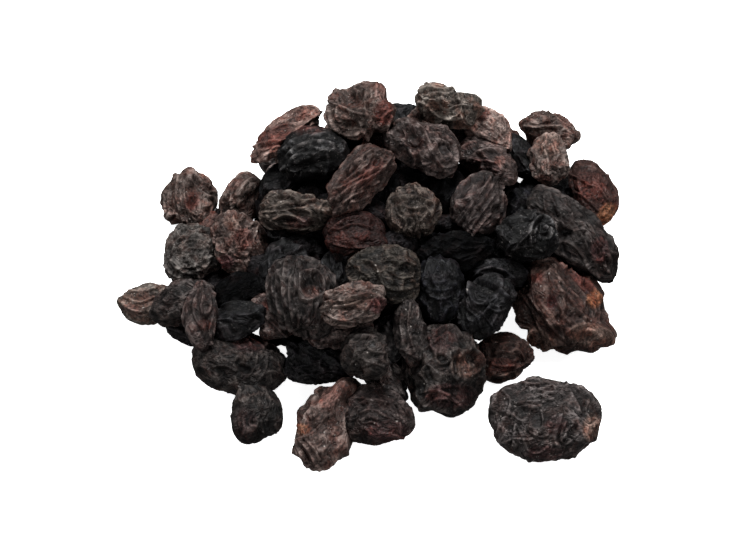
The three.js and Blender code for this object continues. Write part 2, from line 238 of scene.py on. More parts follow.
APART = ("apart", 543, 417, 18.0, 16.2, 11, 2, 0, "ash", "plump")

# Raisins hidden from that sight line: name, place across and back, length, width, thickness,
# turn, layer, colour, folding.
FAR = (
    ("far_a", -16, 26.5, 9, 7, 6, 40, 0, "grey", "curl"),
    ("far_b", -15.5, 32.5, 11.5, 9, 7.5, 5, 0, "slate", "long"),
    ("far_c", -6, 36.5, 12, 9.5, 8, 100, 0, "taupe", "panel"),
    ("far_d", 4, 36.5, 12.5, 9, 8, 75, 0, "black", "curl"),
    ("far_e", 13.5, 37, 12, 9.5, 8, 150, 0, "grey", "long"),
    ("far_f", 22.5, 34, 11.5, 9, 7.5, 10, 0, "brown", "crinkle"),
    ("far_g", -12, 29, 12, 9, 7.5, 30, 1, "olive", "crinkle"),
    ("far_h", 3, 31, 13, 9.5, 8, 120, 0.9, "brown", "long"),
    ("far_i", 14, 31, 12, 9, 7.5, 60, 1.2, "slate", "curl"),
    ("far_j", -4, 32.5, 11.5, 8.5, 7.5, 15, 1.1, "black", "panel"),
    ("far_k", 21, 28, 11, 8.5, 7, 85, 0.9, "taupe", "curl"),
    ("far_l", 32, 20.5, 11, 8.5, 7, 25, 0, "black", "curl"),
    ("far_m", 30.5, 31, 10, 8, 7, 90, 0, "slate", "crinkle"),
    ("far_n", -29, 13.5, 9.5, 7.5, 6, 75, 0, "brown", "curl"),
    ("far_o", 30, 6, 10.5, 8, 7, 70, 0, "black", "crinkle"),
    ("far_p", -29.5, 5.5, 9, 7, 6, 60, 0, "slate", "curl"),
)

VIEW_RIGHT = Vector((1, 0, 0))
VIEW_UP = Vector((0, math.sin(VIEW_RISE), math.cos(VIEW_RISE)))
VIEW_FORWARD = Vector((0, math.cos(VIEW_RISE), -math.sin(VIEW_RISE)))
EYE = VIEW_AIM - VIEW_FORWARD * VIEW_DISTANCE


def draws(seed):
    """Function that gives the next random number from 0 to 1."""
    state = (seed * SEED_FACTOR + SEED_STEP) % DRAW_RANGE

    def following():
        nonlocal state
        state = (state * DRAW_FACTOR + DRAW_STEP) % DRAW_RANGE
        return state / DRAW_RANGE

    following()
    following()
    return following


def within(ends, share):
    """Number between two ends."""
    return ends[0] + (ends[1] - ends[0]) * share


def flat_way(angle):
    """Direction along the floor."""
    return Vector((math.cos(angle), math.sin(angle), 0))


def sight(across, down):
    """Direction from the eye to a picture point."""
    right = (across - VIEW_WIDTH / 2) / FOCAL_POINTS
    up = (VIEW_HEIGHT / 2 - down) / FOCAL_POINTS
    return VIEW_FORWARD + VIEW_RIGHT * right + VIEW_UP * up


def facing(x, y, layer):
    """Way that the flat side of a raisin faces: the outer ones lean outwards."""
    if layer <= FLAT_LAYER:
        return Vector((0, 0, 1))
    dx = (x - HEAP_MIDDLE[0]) / HEAP_HALF_X
    dy = (y - HEAP_MIDDLE[1]) / HEAP_HALF_Y
    ring = math.hypot(dx, dy)
    lean = LEAN * max(0, 1 - abs(ring - LEAN_RING) / LEAN_BAND) / max(ring, 1e-6)
    return Vector((dx * lean, dy * lean, 1)).normalized()


class Raisin:
    """One raisin: its middle, its long, cross and thickness axes, and half its sizes."""

    def __init__(self, name, place, normal, long, sizes, layer, colour, folding, drawn=None):
        first = (long - normal * long.dot(normal)).normalized()
        self.name = name
        self.place = place
        self.axes = (first, normal.cross(first), normal)
        self.half = tuple(size / 2 for size in sizes)
        self.grounded = layer == 0
        self.colour = colour
        self.folding = folding
        self.drawn = drawn

    def reach(self, direction):
        """How far the raisin reaches in a direction."""
        parts = [axis.dot(direction) / half for axis, half in zip(self.axes, self.half)]
        return 1 / math.sqrt(sum(part * part for part in parts))

    def drop(self):
        """How far its lowest point lies under its middle."""
        return math.sqrt(sum((axis.z * half) ** 2 for axis, half in zip(self.axes, self.half)))


def seen_raisin(row):
    """Raisin on the sight line of its picture point, at the height of its layer."""
    name, across, down, length, width, thick, turn, layer, colour, folding = row
    line = sight(across, down)
    height = thick / 2 + LAYER * layer
    place = EYE + line * ((EYE.z - height) / -line.z)
    normal = facing(place.x, place.y, layer)
    angle = math.radians(turn)
    drawn = VIEW_RIGHT * math.cos(angle) + VIEW_UP * math.sin(angle)
    look = line.normalized()
    long = drawn - look * (drawn.dot(normal) / look.dot(normal))
    sizes = (length, width, thick)
    return Raisin(name, place, normal, long, sizes, layer, colour, folding, (across, down))


def far_raisin(row):
    """Raisin at a place on the far side."""
    name, x, y, length, width, thick, turn, layer, colour, folding = row
    place = Vector((x, y, thick / 2 + LAYER * layer))
    long = flat_way(math.radians(turn))
    sizes = (length, width, thick)
    return Raisin(name, place, facing(x, y, layer), long, sizes, layer, colour, folding)


def settle(raisins):
    """Pushes the raisins apart until they only press on each other."""
    goals = [raisin.place.copy() for raisin in raisins]
    lines = [(raisin.place - EYE).normalized() for raisin in raisins]
    for _ in range(ROUNDS):
        moves = [Vector((0, 0, 0)) for _ in raisins]
        for i, one in enumerate(raisins):
            for j in range(i + 1, len(raisins)):
                other = raisins[j]
                apart = other.place - one.place
                distance = apart.length
                if distance > one.half[0] + other.half[0]:
                    continue
                direction = apart / distance
                overlap = TOUCH * (one.reach(direction) + other.reach(direction)) - distance
                if overlap > 0:
                    moves[i] -= direction * (overlap * PUSH)
                    moves[j] += direction * (overlap * PUSH)
        for raisin, goal, line, move in zip(raisins, goals, lines, moves):
            pull = goal - raisin.place
            if raisin.drawn:
                move = move + line * (pull.dot(line) * (HOLD_ALONG - HOLD_ACROSS)) + pull * HOLD_ACROSS
            else:
                move = move + pull * HOLD_LOOSE
            raisin.place = raisin.place + move
            raisin.place.z = max(raisin.place.z, raisin.drop() - SINK)


def fill_raisins():
    """Small raisins, most painted near black as shade, on the floor and on the skin of the inner mound, on a
    shaken grid.
    """
    following = draws(FILL_GRID_SEED)
    raisins = []
    steps_x = int(CORE_HALF_X / FILL_SPACING) + 1
    steps_y = int(CORE_HALF_Y / FILL_SPACING) + 1
    for rim, layer in FILL_LAYERS:
        for row in range(-steps_y, steps_y + 1):
            for column in range(-steps_x, steps_x + 1):
                x = (column + 0.5 * (row % 2)) * FILL_SPACING + (following() - 0.5) * FILL_SHIFT
                y = row * FILL_SPACING + (following() - 0.5) * FILL_SHIFT
                length = within(FILL_LENGTH, following())
                long = flat_way(math.pi * following())
                pick = following()
                ring = math.hypot(x / CORE_HALF_X, y / CORE_HALF_Y)
                if ring > rim:
                    continue
                height = (CORE_HEIGHT * (1 - ring ** CORE_FALL) + FILL_LIFT) * layer
                x += CORE_MIDDLE[0]
                y += CORE_MIDDLE[1]
                sizes = (length, length * FILL_WIDTH, length * FILL_THICKNESS)
                place = Vector((x, y, max(height, sizes[2] / 2)))
                normal = facing(x, y, layer)
                colour = "gloom" if pick < FILL_PAINTED_SHADE else "black"
                folding = "crinkle" if pick < FILL_CRINKLED else "curl"
                raisins.append(Raisin("fill", place, normal, long, sizes, layer, colour, folding))
    return raisins


def swell_of(seed):
    """Waves that make one raisin lumpy: direction and rate, depth and start of each."""
    following = draws(seed)
    waves = []
    for _ in range(WAVES):
        height = 2 * following() - 1
        around = 2 * math.pi * following()
        flat = math.sqrt(1 - height * height)
        rate = within(WAVE_RATE, following())
        depth = within(WAVE_DEPTH, following())
        way = Vector((flat * math.cos(around), flat * math.sin(around), height)) * rate
        waves.append((way, depth, 2 * math.pi * following()))
    return waves


class Sheet:
    """A node tree under construction, with short calls for the nodes that the skin needs."""

    def __init__(self, tree):
        self.tree = tree

    def put(self, kind, values=(), **settings):
        """Adds a node; values are linked sockets or constants, by place or by name."""
        node = self.tree.nodes.new(kind)
        for name, value in settings.items():
            setattr(node, name, value)
        items = values.items() if isinstance(values, dict) else enumerate(values)
        for key, value in items:
            socket = node.inputs[key] if isinstance(key, int) else self.live(node.inputs, key)
            if isinstance(value, bpy.types.NodeSocket):
                self.tree.links.new(value, socket)
            elif value is not None:
                socket.default_value = value
        return node

    @staticmethod
    def live(sockets, name):
        return next(socket for socket in sockets if socket.name == name and socket.enabled)

    def maths(self, operation, *values):
        return self.put("ShaderNodeMath", values, operation=operation).outputs[0]

    def times(self, *values):
        return self.maths("MULTIPLY", *values)

    def less(self, *values):
        return self.maths("SUBTRACT", *values)

    def over(self, *values):
        return self.maths("DIVIDE", *values)

    def total(self, first, *others):
        """Sum of products, each given as its two factors."""
        whole = self.times(*first)
        for pair in others:
            whole = self.maths("MULTIPLY_ADD", *pair, whole)
        return whole

    def vector(self, operation, *values):
        node = self.put("ShaderNodeVectorMath", values, operation=operation)
        return node.outputs["Value" if operation == "DOT_PRODUCT" else "Vector"]

    def scaled(self, vector, factor):
        node = self.put("ShaderNodeVectorMath", {0: vector, 3: factor}, operation="SCALE")
        return node.outputs["Vector"]

    def attribute(self, name, data_type="FLOAT_VECTOR"):
        node = self.put("GeometryNodeInputNamedAttribute", {"Name": name}, data_type=data_type)
        return self.live(node.outputs, "Attribute")

    def parts(self, name):
        """The three numbers of a vector that each raisin carries."""
        return self.put("ShaderNodeSeparateXYZ", (self.attribute(name),)).outputs

    def mark(self, name, output="Fac"):
        """What the shader reads from the finished mesh."""
        return self.put("ShaderNodeAttribute", attribute_name=name).outputs[output]

    def noise(self, vector, scale, detail=0.0, colour=False):
        values = {"Vector": vector, "Scale": scale, "Detail": detail}
        return self.put("ShaderNodeTexNoise", values).outputs[1 if colour else 0]

    def ramp(self, field, low, high, first=0.0, last=1.0):
        """Swings smoothly from one share to another while a field goes from low to high."""
        values = (field, low, high, first, last)
        return self.put("ShaderNodeMapRange", values, interpolation_type="SMOOTHSTEP").outputs[0]

    def patches(self, vector, rate, detail, *swing):
        """Noise that swings smoothly from one share to another."""
        return self.ramp(self.noise(vector, rate, detail), *swing)

    def shaken(self, vector, where, rate, detail, amount):
        """A vector that noise pushes about."""
        push = self.vector("SUBTRACT", self.noise(where, rate, detail, True), (0.5, 0.5, 0.5))
        return self.vector("ADD", vector, self.scaled(push, amount))

    def cells(self, vector):
        """Distance to the nearest border between the cells of a random pattern of size 1."""
        values = {"Vector": vector, "Scale": 1.0}
        node = self.put("ShaderNodeTexVoronoi", values, feature="DISTANCE_TO_EDGE")
        return self.live(node.outputs, "Distance")

    def crest_of(self, distance, width):
        """Height of a fold at a distance from its crest line, from 1 on the line towards 0."""
        share = self.over(distance, width)
        return self.over(1.0, self.maths("MULTIPLY_ADD", share, share, 1.0))

    def ridge(self, field, narrow):
        """Turns noise into thin rounded crests with broad hollows between them, from 0 to 1."""
        away = self.times(self.less(field, 0.5), narrow)
        return self.maths("EXPONENT", self.times(self.times(away, away), -1.0))

    def store(self, geometry, name, value, data_type="FLOAT_VECTOR"):
        values = {"Geometry": geometry, "Name": name, "Value": value}
        node = self.put("GeometryNodeStoreNamedAttribute", values, data_type=data_type, domain="POINT")
        return node.outputs["Geometry"]

    def moved(self, geometry, position=None, offset=None):
        values = {"Geometry": geometry, "Position": position, "Offset": offset}
        return self.put("GeometryNodeSetPosition", values).outputs["Geometry"]


# Inputs of the skin tree, in millimetres: spacing of the fine lines, splits and crinkle, how far the
# panels wander and twist; and how much finer the mesh is on the side that is looked at.
TREE_INPUTS = (
    ("Subdivisions", "NodeSocketInt", 5),
    ("Line spacing", "NodeSocketFloat", 0.55),
    ("Split spacing", "NodeSocketFloat", 3.4),
    ("Crinkle spacing", "NodeSocketFloat", 0.62),
    ("Wander", "NodeSocketFloat", 3.6),
    ("Twist", "NodeSocketFloat", 1.3),
    ("Gather", "NodeSocketFloat", 1.6),
    ("Material", "NodeSocketMaterial", None),
)

# Noise in the skin tree: rate to a millimetre and detail.
BEND_NOISE = (0.16, 1.0)
TWIST_NOISE = (0.55, 0.5)
LINE_NOISE = (0.7, 1.0)
BROAD_RATE = 0.13
SPLIT_DETAIL = 0.4
CRINKLE_DETAIL = 0.6

# Noise that lets folds fade, small ones and lines crumple, splits open and crinkle roughen: rate,
# detail, where it begins and ends to count, and the share before and after.
FADING = (0.23, 0.0, 0.34, 0.62, 0.15, 1.25)
CRUMPLING = (0.31, 1.0, 0.40, 0.58, 0.2, 1.0)
SPLITTING = (0.27, 0.0, 0.45, 0.60)
ROUGHENING = (0.38, 0.5, 0.40, 0.60, 0.25, 1.0)

# Small panels between the large ones: how many to one large panel, their shift, and the width and
# height of their folds beside those of the large ones.
SMALL_CELLS = (3.0, 3.0, 3.0)
SMALL_SHIFT = (3.1, 1.7, 5.9)
SMALL_WIDTH = 0.85
SMALL_HEIGHT = 0.65

# How far a panel's hollow reaches from its rim, how much it quiets the lines, and how far the lines
# drift; where the splits run, and how narrow splits and crinkle are.
HOLLOW_REACH = 0.42
HOLLOW_QUIET = 0.8
LINE_DRIFT = 9.0
SPLIT_SHIFT = (31.0, 17.0, 5.0)
SPLIT_NARROW = 18.0
CRINKLE_NARROW = 7.0

# What counts as level for folds, small folds, hollows and crinkle, the height of the broad lumps,
# and the share of folds, small folds, lines and crinkle in the crest mark.
FOLD_LEVEL = 0.6
SMALL_LEVEL = 0.4
HOLLOW_LEVEL = 0.12
CRINKLE_LEVEL = 0.5
BROAD_HEIGHT = 2.0
CREST_SHARES = (0.50, 0.25, 0.14, 0.25)


def skin_tree():
    """Geometry Nodes tree that grows one wrinkled raisin on each point."""
    tree = bpy.data.node_groups.new("raisin skin", "GeometryNodeTree")
    face = tree.interface
    face.new_socket("Geometry", in_out="INPUT", socket_type="NodeSocketGeometry")
    inputs = {}
    for name, kind, value in TREE_INPUTS:
        socket = face.new_socket(name, in_out="INPUT", socket_type=kind)
        if value is not None:
            socket.default_value = value
        inputs[name] = socket.identifier
    face.new_socket("Geometry", in_out="OUTPUT", socket_type="NodeSocketGeometry")

    sheet = Sheet(tree)
    given = tree.nodes.new("NodeGroupInput").outputs
    ball = sheet.put("GeometryNodeMeshIcoSphere", {"Radius": 1.0, "Subdivisions": given["Subdivisions"]})
    here = sheet.put("GeometryNodeInputPosition").outputs[0]
    ball = sheet.store(ball.outputs["Mesh"], "skin", here)
    rotation = sheet.put(
        "FunctionNodeAxesToRotation",
        (sheet.attribute("facing"), sheet.attribute("long")),
        primary_axis="Z",
        secondary_axis="X",
    ).outputs[0]
    half = sheet.attribute("half")
    placed = sheet.put(
        "GeometryNodeInstanceOnPoints",
        {"Points": given["Geometry"], "Instance": ball, "Rotation": rotation, "Scale": half},
    )
    body = sheet.put("GeometryNodeRealizeInstances", (placed.outputs[0],)).outputs[0]

    # The mesh is drawn together on the side that is looked at, over the same ellipsoid.
    skin = sheet.attribute("skin")
    middle = sheet.attribute("middle")
    looked_at = sheet.attribute("looked_at")
    gather = given["Gather"]
    nearness = sheet.vector("DOT_PRODUCT", skin, looked_at)
    near = sheet.times(sheet.maths("ADD", nearness, 1.0), sheet.times(gather, gather))
    far = sheet.less(1.0, nearness)
    whole = sheet.maths("ADD", near, far)
    pole = sheet.over(sheet.less(near, far), whole)
    flank = sheet.over(sheet.times(gather, 2.0), whole)
    level = sheet.vector("SUBTRACT", skin, sheet.scaled(looked_at, nearness))
    gathered = sheet.vector("ADD", sheet.scaled(looked_at, pole), sheet.scaled(level, flank))
    body = sheet.store(body, "skin", gathered)
    reach = sheet.vector("MULTIPLY", skin, half)
    reach = sheet.put("FunctionNodeRotateVector", {"Vector": reach, "Rotation": rotation}).outputs[0]
    body = sheet.moved(body, position=sheet.vector("ADD", middle, reach))

    # Lumps of the whole raisin.
    swell = 1.0
    for wave in range(WAVES):
        depth = sheet.attribute(f"depth_{wave}", "FLOAT")
        start = sheet.attribute(f"start_{wave}", "FLOAT")
        turn = sheet.vector("DOT_PRODUCT", sheet.attribute(f"way_{wave}"), skin)
        turn = sheet.maths("ADD", turn, start)
        swell = sheet.maths("MULTIPLY_ADD", sheet.maths("SINE", turn), depth, swell)
    arm = sheet.scaled(sheet.vector("SUBTRACT", here, middle), swell)
    body = sheet.moved(body, position=sheet.vector("ADD", middle, arm))

    # Panels, folds, lines, splits and crinkle, in millimetres on the raisin's own axes.
    spot = sheet.scaled(sheet.vector("MULTIPLY", skin, half), 1 / MM)
    spot = sheet.vector("ADD", spot, sheet.attribute("drift"))
    panel_size, fold_width, run = sheet.parts("panels")
    fold_height, line_height, crinkle_height = sheet.parts("heights")
    panel_depth, split_depth, _ = sheet.parts("depths")
    bent = sheet.shaken(spot, spot, *BEND_NOISE, given["Wander"])
    bent = sheet.shaken(bent, spot, *TWIST_NOISE, given["Twist"])
    stretch = sheet.put("ShaderNodeCombineXYZ", (run, 1.0, 1.0)).outputs[0]
    along = sheet.vector("MULTIPLY", bent, stretch)

    fading = sheet.patches(spot, *FADING)
    crumple = sheet.patches(spot, *CRUMPLING)
    rough = sheet.patches(spot, *ROUGHENING)
    cell = sheet.scaled(along, sheet.over(1.0, panel_size))
    edge = sheet.times(sheet.cells(cell), panel_size)
    fold = sheet.crest_of(edge, fold_width)
    small_edge = sheet.cells(sheet.vector("MULTIPLY_ADD", cell, SMALL_CELLS, SMALL_SHIFT))
    small_edge = sheet.times(small_edge, sheet.over(panel_size, SMALL_CELLS[0]))
    small_fold = sheet.crest_of(small_edge, sheet.times(fold_width, SMALL_WIDTH))
    hollow = sheet.ramp(edge, 0.0, sheet.times(panel_size, HOLLOW_REACH))
    turn = sheet.over(sheet.times(edge, 2 * math.pi), given["Line spacing"])
    drift = sheet.times(sheet.noise(spot, *LINE_NOISE), LINE_DRIFT)
    line = sheet.maths("COSINE", sheet.maths("ADD", turn, drift))
    rim = sheet.less(1.0, sheet.times(hollow, HOLLOW_QUIET))
    line = sheet.times(line, sheet.times(rim, crumple))
    split = sheet.vector("ADD", along, SPLIT_SHIFT)
    split = sheet.noise(split, sheet.over(1.0, given["Split spacing"]), SPLIT_DETAIL)
    split = sheet.times(sheet.ridge(split, SPLIT_NARROW), sheet.patches(spot, *SPLITTING))
    crinkle = sheet.noise(along, sheet.over(1.0, given["Crinkle spacing"]), CRINKLE_DETAIL)
    crinkle = sheet.ridge(crinkle, CRINKLE_NARROW)

    height = sheet.total(
        (sheet.less(sheet.noise(spot, BROAD_RATE), 0.5), BROAD_HEIGHT),
        (sheet.less(fold, FOLD_LEVEL), sheet.times(fold_height, fading)),
        (sheet.less(small_fold, SMALL_LEVEL), sheet.times(sheet.times(fold_height, SMALL_HEIGHT), crumple)),
        (sheet.less(HOLLOW_LEVEL, hollow), panel_depth),
        (line, line_height),
        (sheet.times(split, -1.0), split_depth),
        (sheet.times(sheet.less(crinkle, CRINKLE_LEVEL), rough), crinkle_height),
    )
    raised = (sheet.times(fold, fading), sheet.times(small_fold, crumple), line, sheet.times(crinkle, rough))
    crest = sheet.total(*zip(raised, CREST_SHARES))
    crest = sheet.times(crest, sheet.less(1.0, split))
    body = sheet.store(body, "crest", crest, "FLOAT")
    body = sheet.store(body, "cell", cell)
    body = sheet.store(body, "flow", along)
    normal = sheet.put("GeometryNodeInputNormal").outputs[0]
    body = sheet.moved(body, offset=sheet.scaled(normal, sheet.times(height, MM)))
    body = sheet.put("GeometryNodeSetShadeSmooth", {"Geometry": body}).outputs[0]
    body = sheet.put("GeometryNodeSetMaterial", {"Geometry": body, "Material": given["Material"]}).outputs[0]
    sheet.put("NodeGroupOutput", (body,))
    return tree, inputs


# Colour and relief of the skin. Clouds, grain, and sugary specks with painted glints: noise rate to a metre,
# detail, where it begins and ends to count, and the share before and after; colour factors in the clouds,
# for the skin and for the dusted crests with their painted sheen.
CLOUDING = (420.0, 3.0, 0.44, 0.64, 0.0, 0.7)
CLOUD_TONE = (1.7, 1.0, 0.85)
CLOUD_DUST_AND_SHEEN = (1.06, 1.0, 0.97)
GRAINING = (2300.0, 2.0, 0.38, 0.62, 0.45, 1.55)
SUGAR_AND_GLINT_NOISE = (3800.0, 0.0, 0.73, 0.80, 0.0, 0.55)
SUGAR_AND_GLINT_SPECKS = (0.3, 0.8, 0.0, 0.55)
SUGAR_AND_GLINT_COLOUR = (0.30, 0.27, 0.25, 1.0)
DUST_AND_SHEEN_NOISE = (800.0, 3.0)
DUST_AND_SHEEN_WEIGHTS = (5.0, 0.0, 0.0)
PORE_NOISE = (2400.0, 2.0)
PORE_DEPTH = 0.7
RELIEF_DEPTH = 0.00020

# Net of fine creases, which runs as the folds do: how it is shaken; its coarse and its fine threads
# with their rate to a millimetre along the raisin and across it, their width and their share; its
# strands, the ribs on the folds, and where the net and the drawn folds are strong and weak.
FLOW_SHAKE = (0.9, 1.0, 1.1)
NETS = (((0.75, 1.15, 1.15), 0.12, 0.62), ((1.5, 2.2, 2.2), 0.16, 0.60))
STRAND_RATE = (0.8, 1.5, 1.5)
STRAND_NOISE = (1.0, 1.5)
STRAND_NARROW = 12.0
STRAND_SHARE = 0.50
RIB_WIDTH = 0.024
RIB_SHARE = 0.35
NETTING = (0.45, 1.0, 0.38, 0.60, 0.45, 1.0)
FOLDING = (0.8, 1.0, 0.40, 0.62, 0.60, 1.05)

# What follows the crests, the net and the calm places: begin and end, share before and after. The
# shade ramps paint shade into the hollows and light onto the crests and the net of creases.
RIB_BY_CREST = (0.15, 0.45, 0.1, 1.0)
NET_BY_CALM = (0.0, 1.0, 1.0, 0.2)
SHADE_BY_CREST = (0.06, 0.66, 0.36, 1.6)
SHADE_BY_NET = (0.2, 1.1, 0.55, 2.0)
DUST_AND_SHEEN_BY_NET = (0.35, 1.2, 0.02, 0.54)
DUST_AND_SHEEN_BY_PATCHES = (0.38, 0.62, 0.2, 1.1)
DUST_AND_SHEEN_BY_CREST = (0.05, 0.6, 0.30, 1.0)
SUGAR_AND_GLINTS_BY_PATCHES = (0.42, 0.62, 0.0, 1.0)
GLOSS_BY_CREST = (0.1, 0.7, 0.60, 0.42)

# Shine of the skin, and lower shine of a dulled copy for the raisins in the gaps and the depth of the
# heap, so that they look dark: painted shade.
SHINE = 0.08
SHADED_SHINE = 0.015


def skin_material(label, shine):
    """Dry raisin skin: hollows darkened as painted shade, dusted crests lightened with a painted sheen,
    brown and red clouding.
    """
    material = bpy.data.materials.new(label)
    material.use_nodes = True
    tree = material.node_tree
    tree.nodes.clear()
    sheet = Sheet(tree)
    place = sheet.put("ShaderNodeTexCoord").outputs["Object"]
    crest = sheet.mark("crest")
    flow = sheet.mark("flow", "Vector")

    def blend(factor, one, two):
        return sheet.put("ShaderNodeMix", {0: factor, 6: one, 7: two}, data_type="RGBA").outputs[2]

    rib = sheet.crest_of(sheet.cells(sheet.mark("cell", "Vector")), RIB_WIDTH)
    rib = sheet.times(rib, sheet.ramp(crest, *RIB_BY_CREST))
    shaken = sheet.shaken(flow, flow, *FLOW_SHAKE)
    threads = []
    for rate, width, share in NETS:
        threads.append((sheet.crest_of(sheet.cells(sheet.vector("MULTIPLY", shaken, rate)), width), share))
    strand = sheet.noise(sheet.vector("MULTIPLY", shaken, STRAND_RATE), *STRAND_NOISE)
    net = sheet.total(*threads, (sheet.ridge(strand, STRAND_NARROW), STRAND_SHARE))
    net = sheet.times(net, sheet.patches(flow, *NETTING))
    net = sheet.times(net, sheet.ramp(sheet.mark("calm"), *NET_BY_CALM))
    net = sheet.maths("MULTIPLY_ADD", rib, RIB_SHARE, net)
    net = sheet.maths("MULTIPLY_ADD", sheet.mark("fold"), sheet.patches(flow, *FOLDING), net)

    cloudy = sheet.patches(place, *CLOUDING)
    tone = sheet.mark("tone", "Color")
    base = blend(cloudy, tone, sheet.vector("MULTIPLY", tone, CLOUD_TONE))
    dusting = sheet.mark("dusting", "Color")
    dusting = blend(cloudy, dusting, sheet.vector("MULTIPLY", dusting, CLOUD_DUST_AND_SHEEN))
    # Painted shade in the hollows and between the creases, painted light on the crests and on the net of
    # creases.
    shade = sheet.times(sheet.ramp(crest, *SHADE_BY_CREST), sheet.ramp(net, *SHADE_BY_NET))
    uneven = sheet.less(1.0, sheet.mark("even"))
    shade = sheet.maths("MULTIPLY_ADD", sheet.less(shade, 1.0), uneven, 1.0)
    level = sheet.times(shade, sheet.patches(place, *GRAINING))
    base = sheet.vector("MULTIPLY", base, sheet.put("ShaderNodeCombineXYZ", (level,) * 3).outputs[0])
    # The crests and the net of creases take the dusted colour, which also carries a painted sheen.
    dust_and_sheen_patches = sheet.noise(place, *DUST_AND_SHEEN_NOISE)
    dust_and_sheen_share = sheet.times(sheet.ramp(net, *DUST_AND_SHEEN_BY_NET), sheet.ramp(dust_and_sheen_patches, *DUST_AND_SHEEN_BY_PATCHES))
    dust_and_sheen_share = sheet.times(dust_and_sheen_share, sheet.ramp(crest, *DUST_AND_SHEEN_BY_CREST))
    base = blend(dust_and_sheen_share, base, dusting)
    # Sugary specks with painted glints, scattered where the dusted crests are bright, and at the listed
    # places.
    dust_and_sheen_brightness = sheet.vector("DOT_PRODUCT", dusting, DUST_AND_SHEEN_WEIGHTS)
    sugar = sheet.times(sheet.patches(place, *SUGAR_AND_GLINT_NOISE), dust_and_sheen_brightness)
    sugar = sheet.times(sugar, sheet.ramp(dust_and_sheen_patches, *SUGAR_AND_GLINTS_BY_PATCHES))
    sugar = sheet.maths("MAXIMUM", sugar, sheet.ramp(sheet.mark("sugar"), *SUGAR_AND_GLINT_SPECKS))
    base = blend(sugar, base, SUGAR_AND_GLINT_COLOUR)
    relief = sheet.maths("MULTIPLY_ADD", sheet.noise(place, *PORE_NOISE), PORE_DEPTH, net)
    bump = sheet.put("ShaderNodeBump", {"Strength": 1.0, "Distance": RELIEF_DEPTH, "Height": relief})
    shader = sheet.put(
        "ShaderNodeBsdfPrincipled",
        {
            "Base Color": base,
            "Roughness": sheet.ramp(crest, *GLOSS_BY_CREST),
            "Specular IOR Level": shine,
            "Normal": bump.outputs[0],
        },
    )
    sheet.put("ShaderNodeOutputMaterial", (shader.outputs[0],))
    return material


# Places of single raisins, from the photograph, in picture points. A tinted place: share of
# the tint, middle, half length and half width, turn in degrees, tint.
TINT_COLOURS = {
    "red": (0.0250, 0.0090, 0.0073),
    "plum": (0.0170, 0.0066, 0.0066),
    "rose": (0.0360, 0.0190, 0.0160),
    "tan": (0.0520, 0.0340, 0.0275),
    # This tint is painted glow: light shining through the thin skin at a raisin's rim.
    "painted_amber_glow": (0.0640, 0.0270, 0.0140),
}
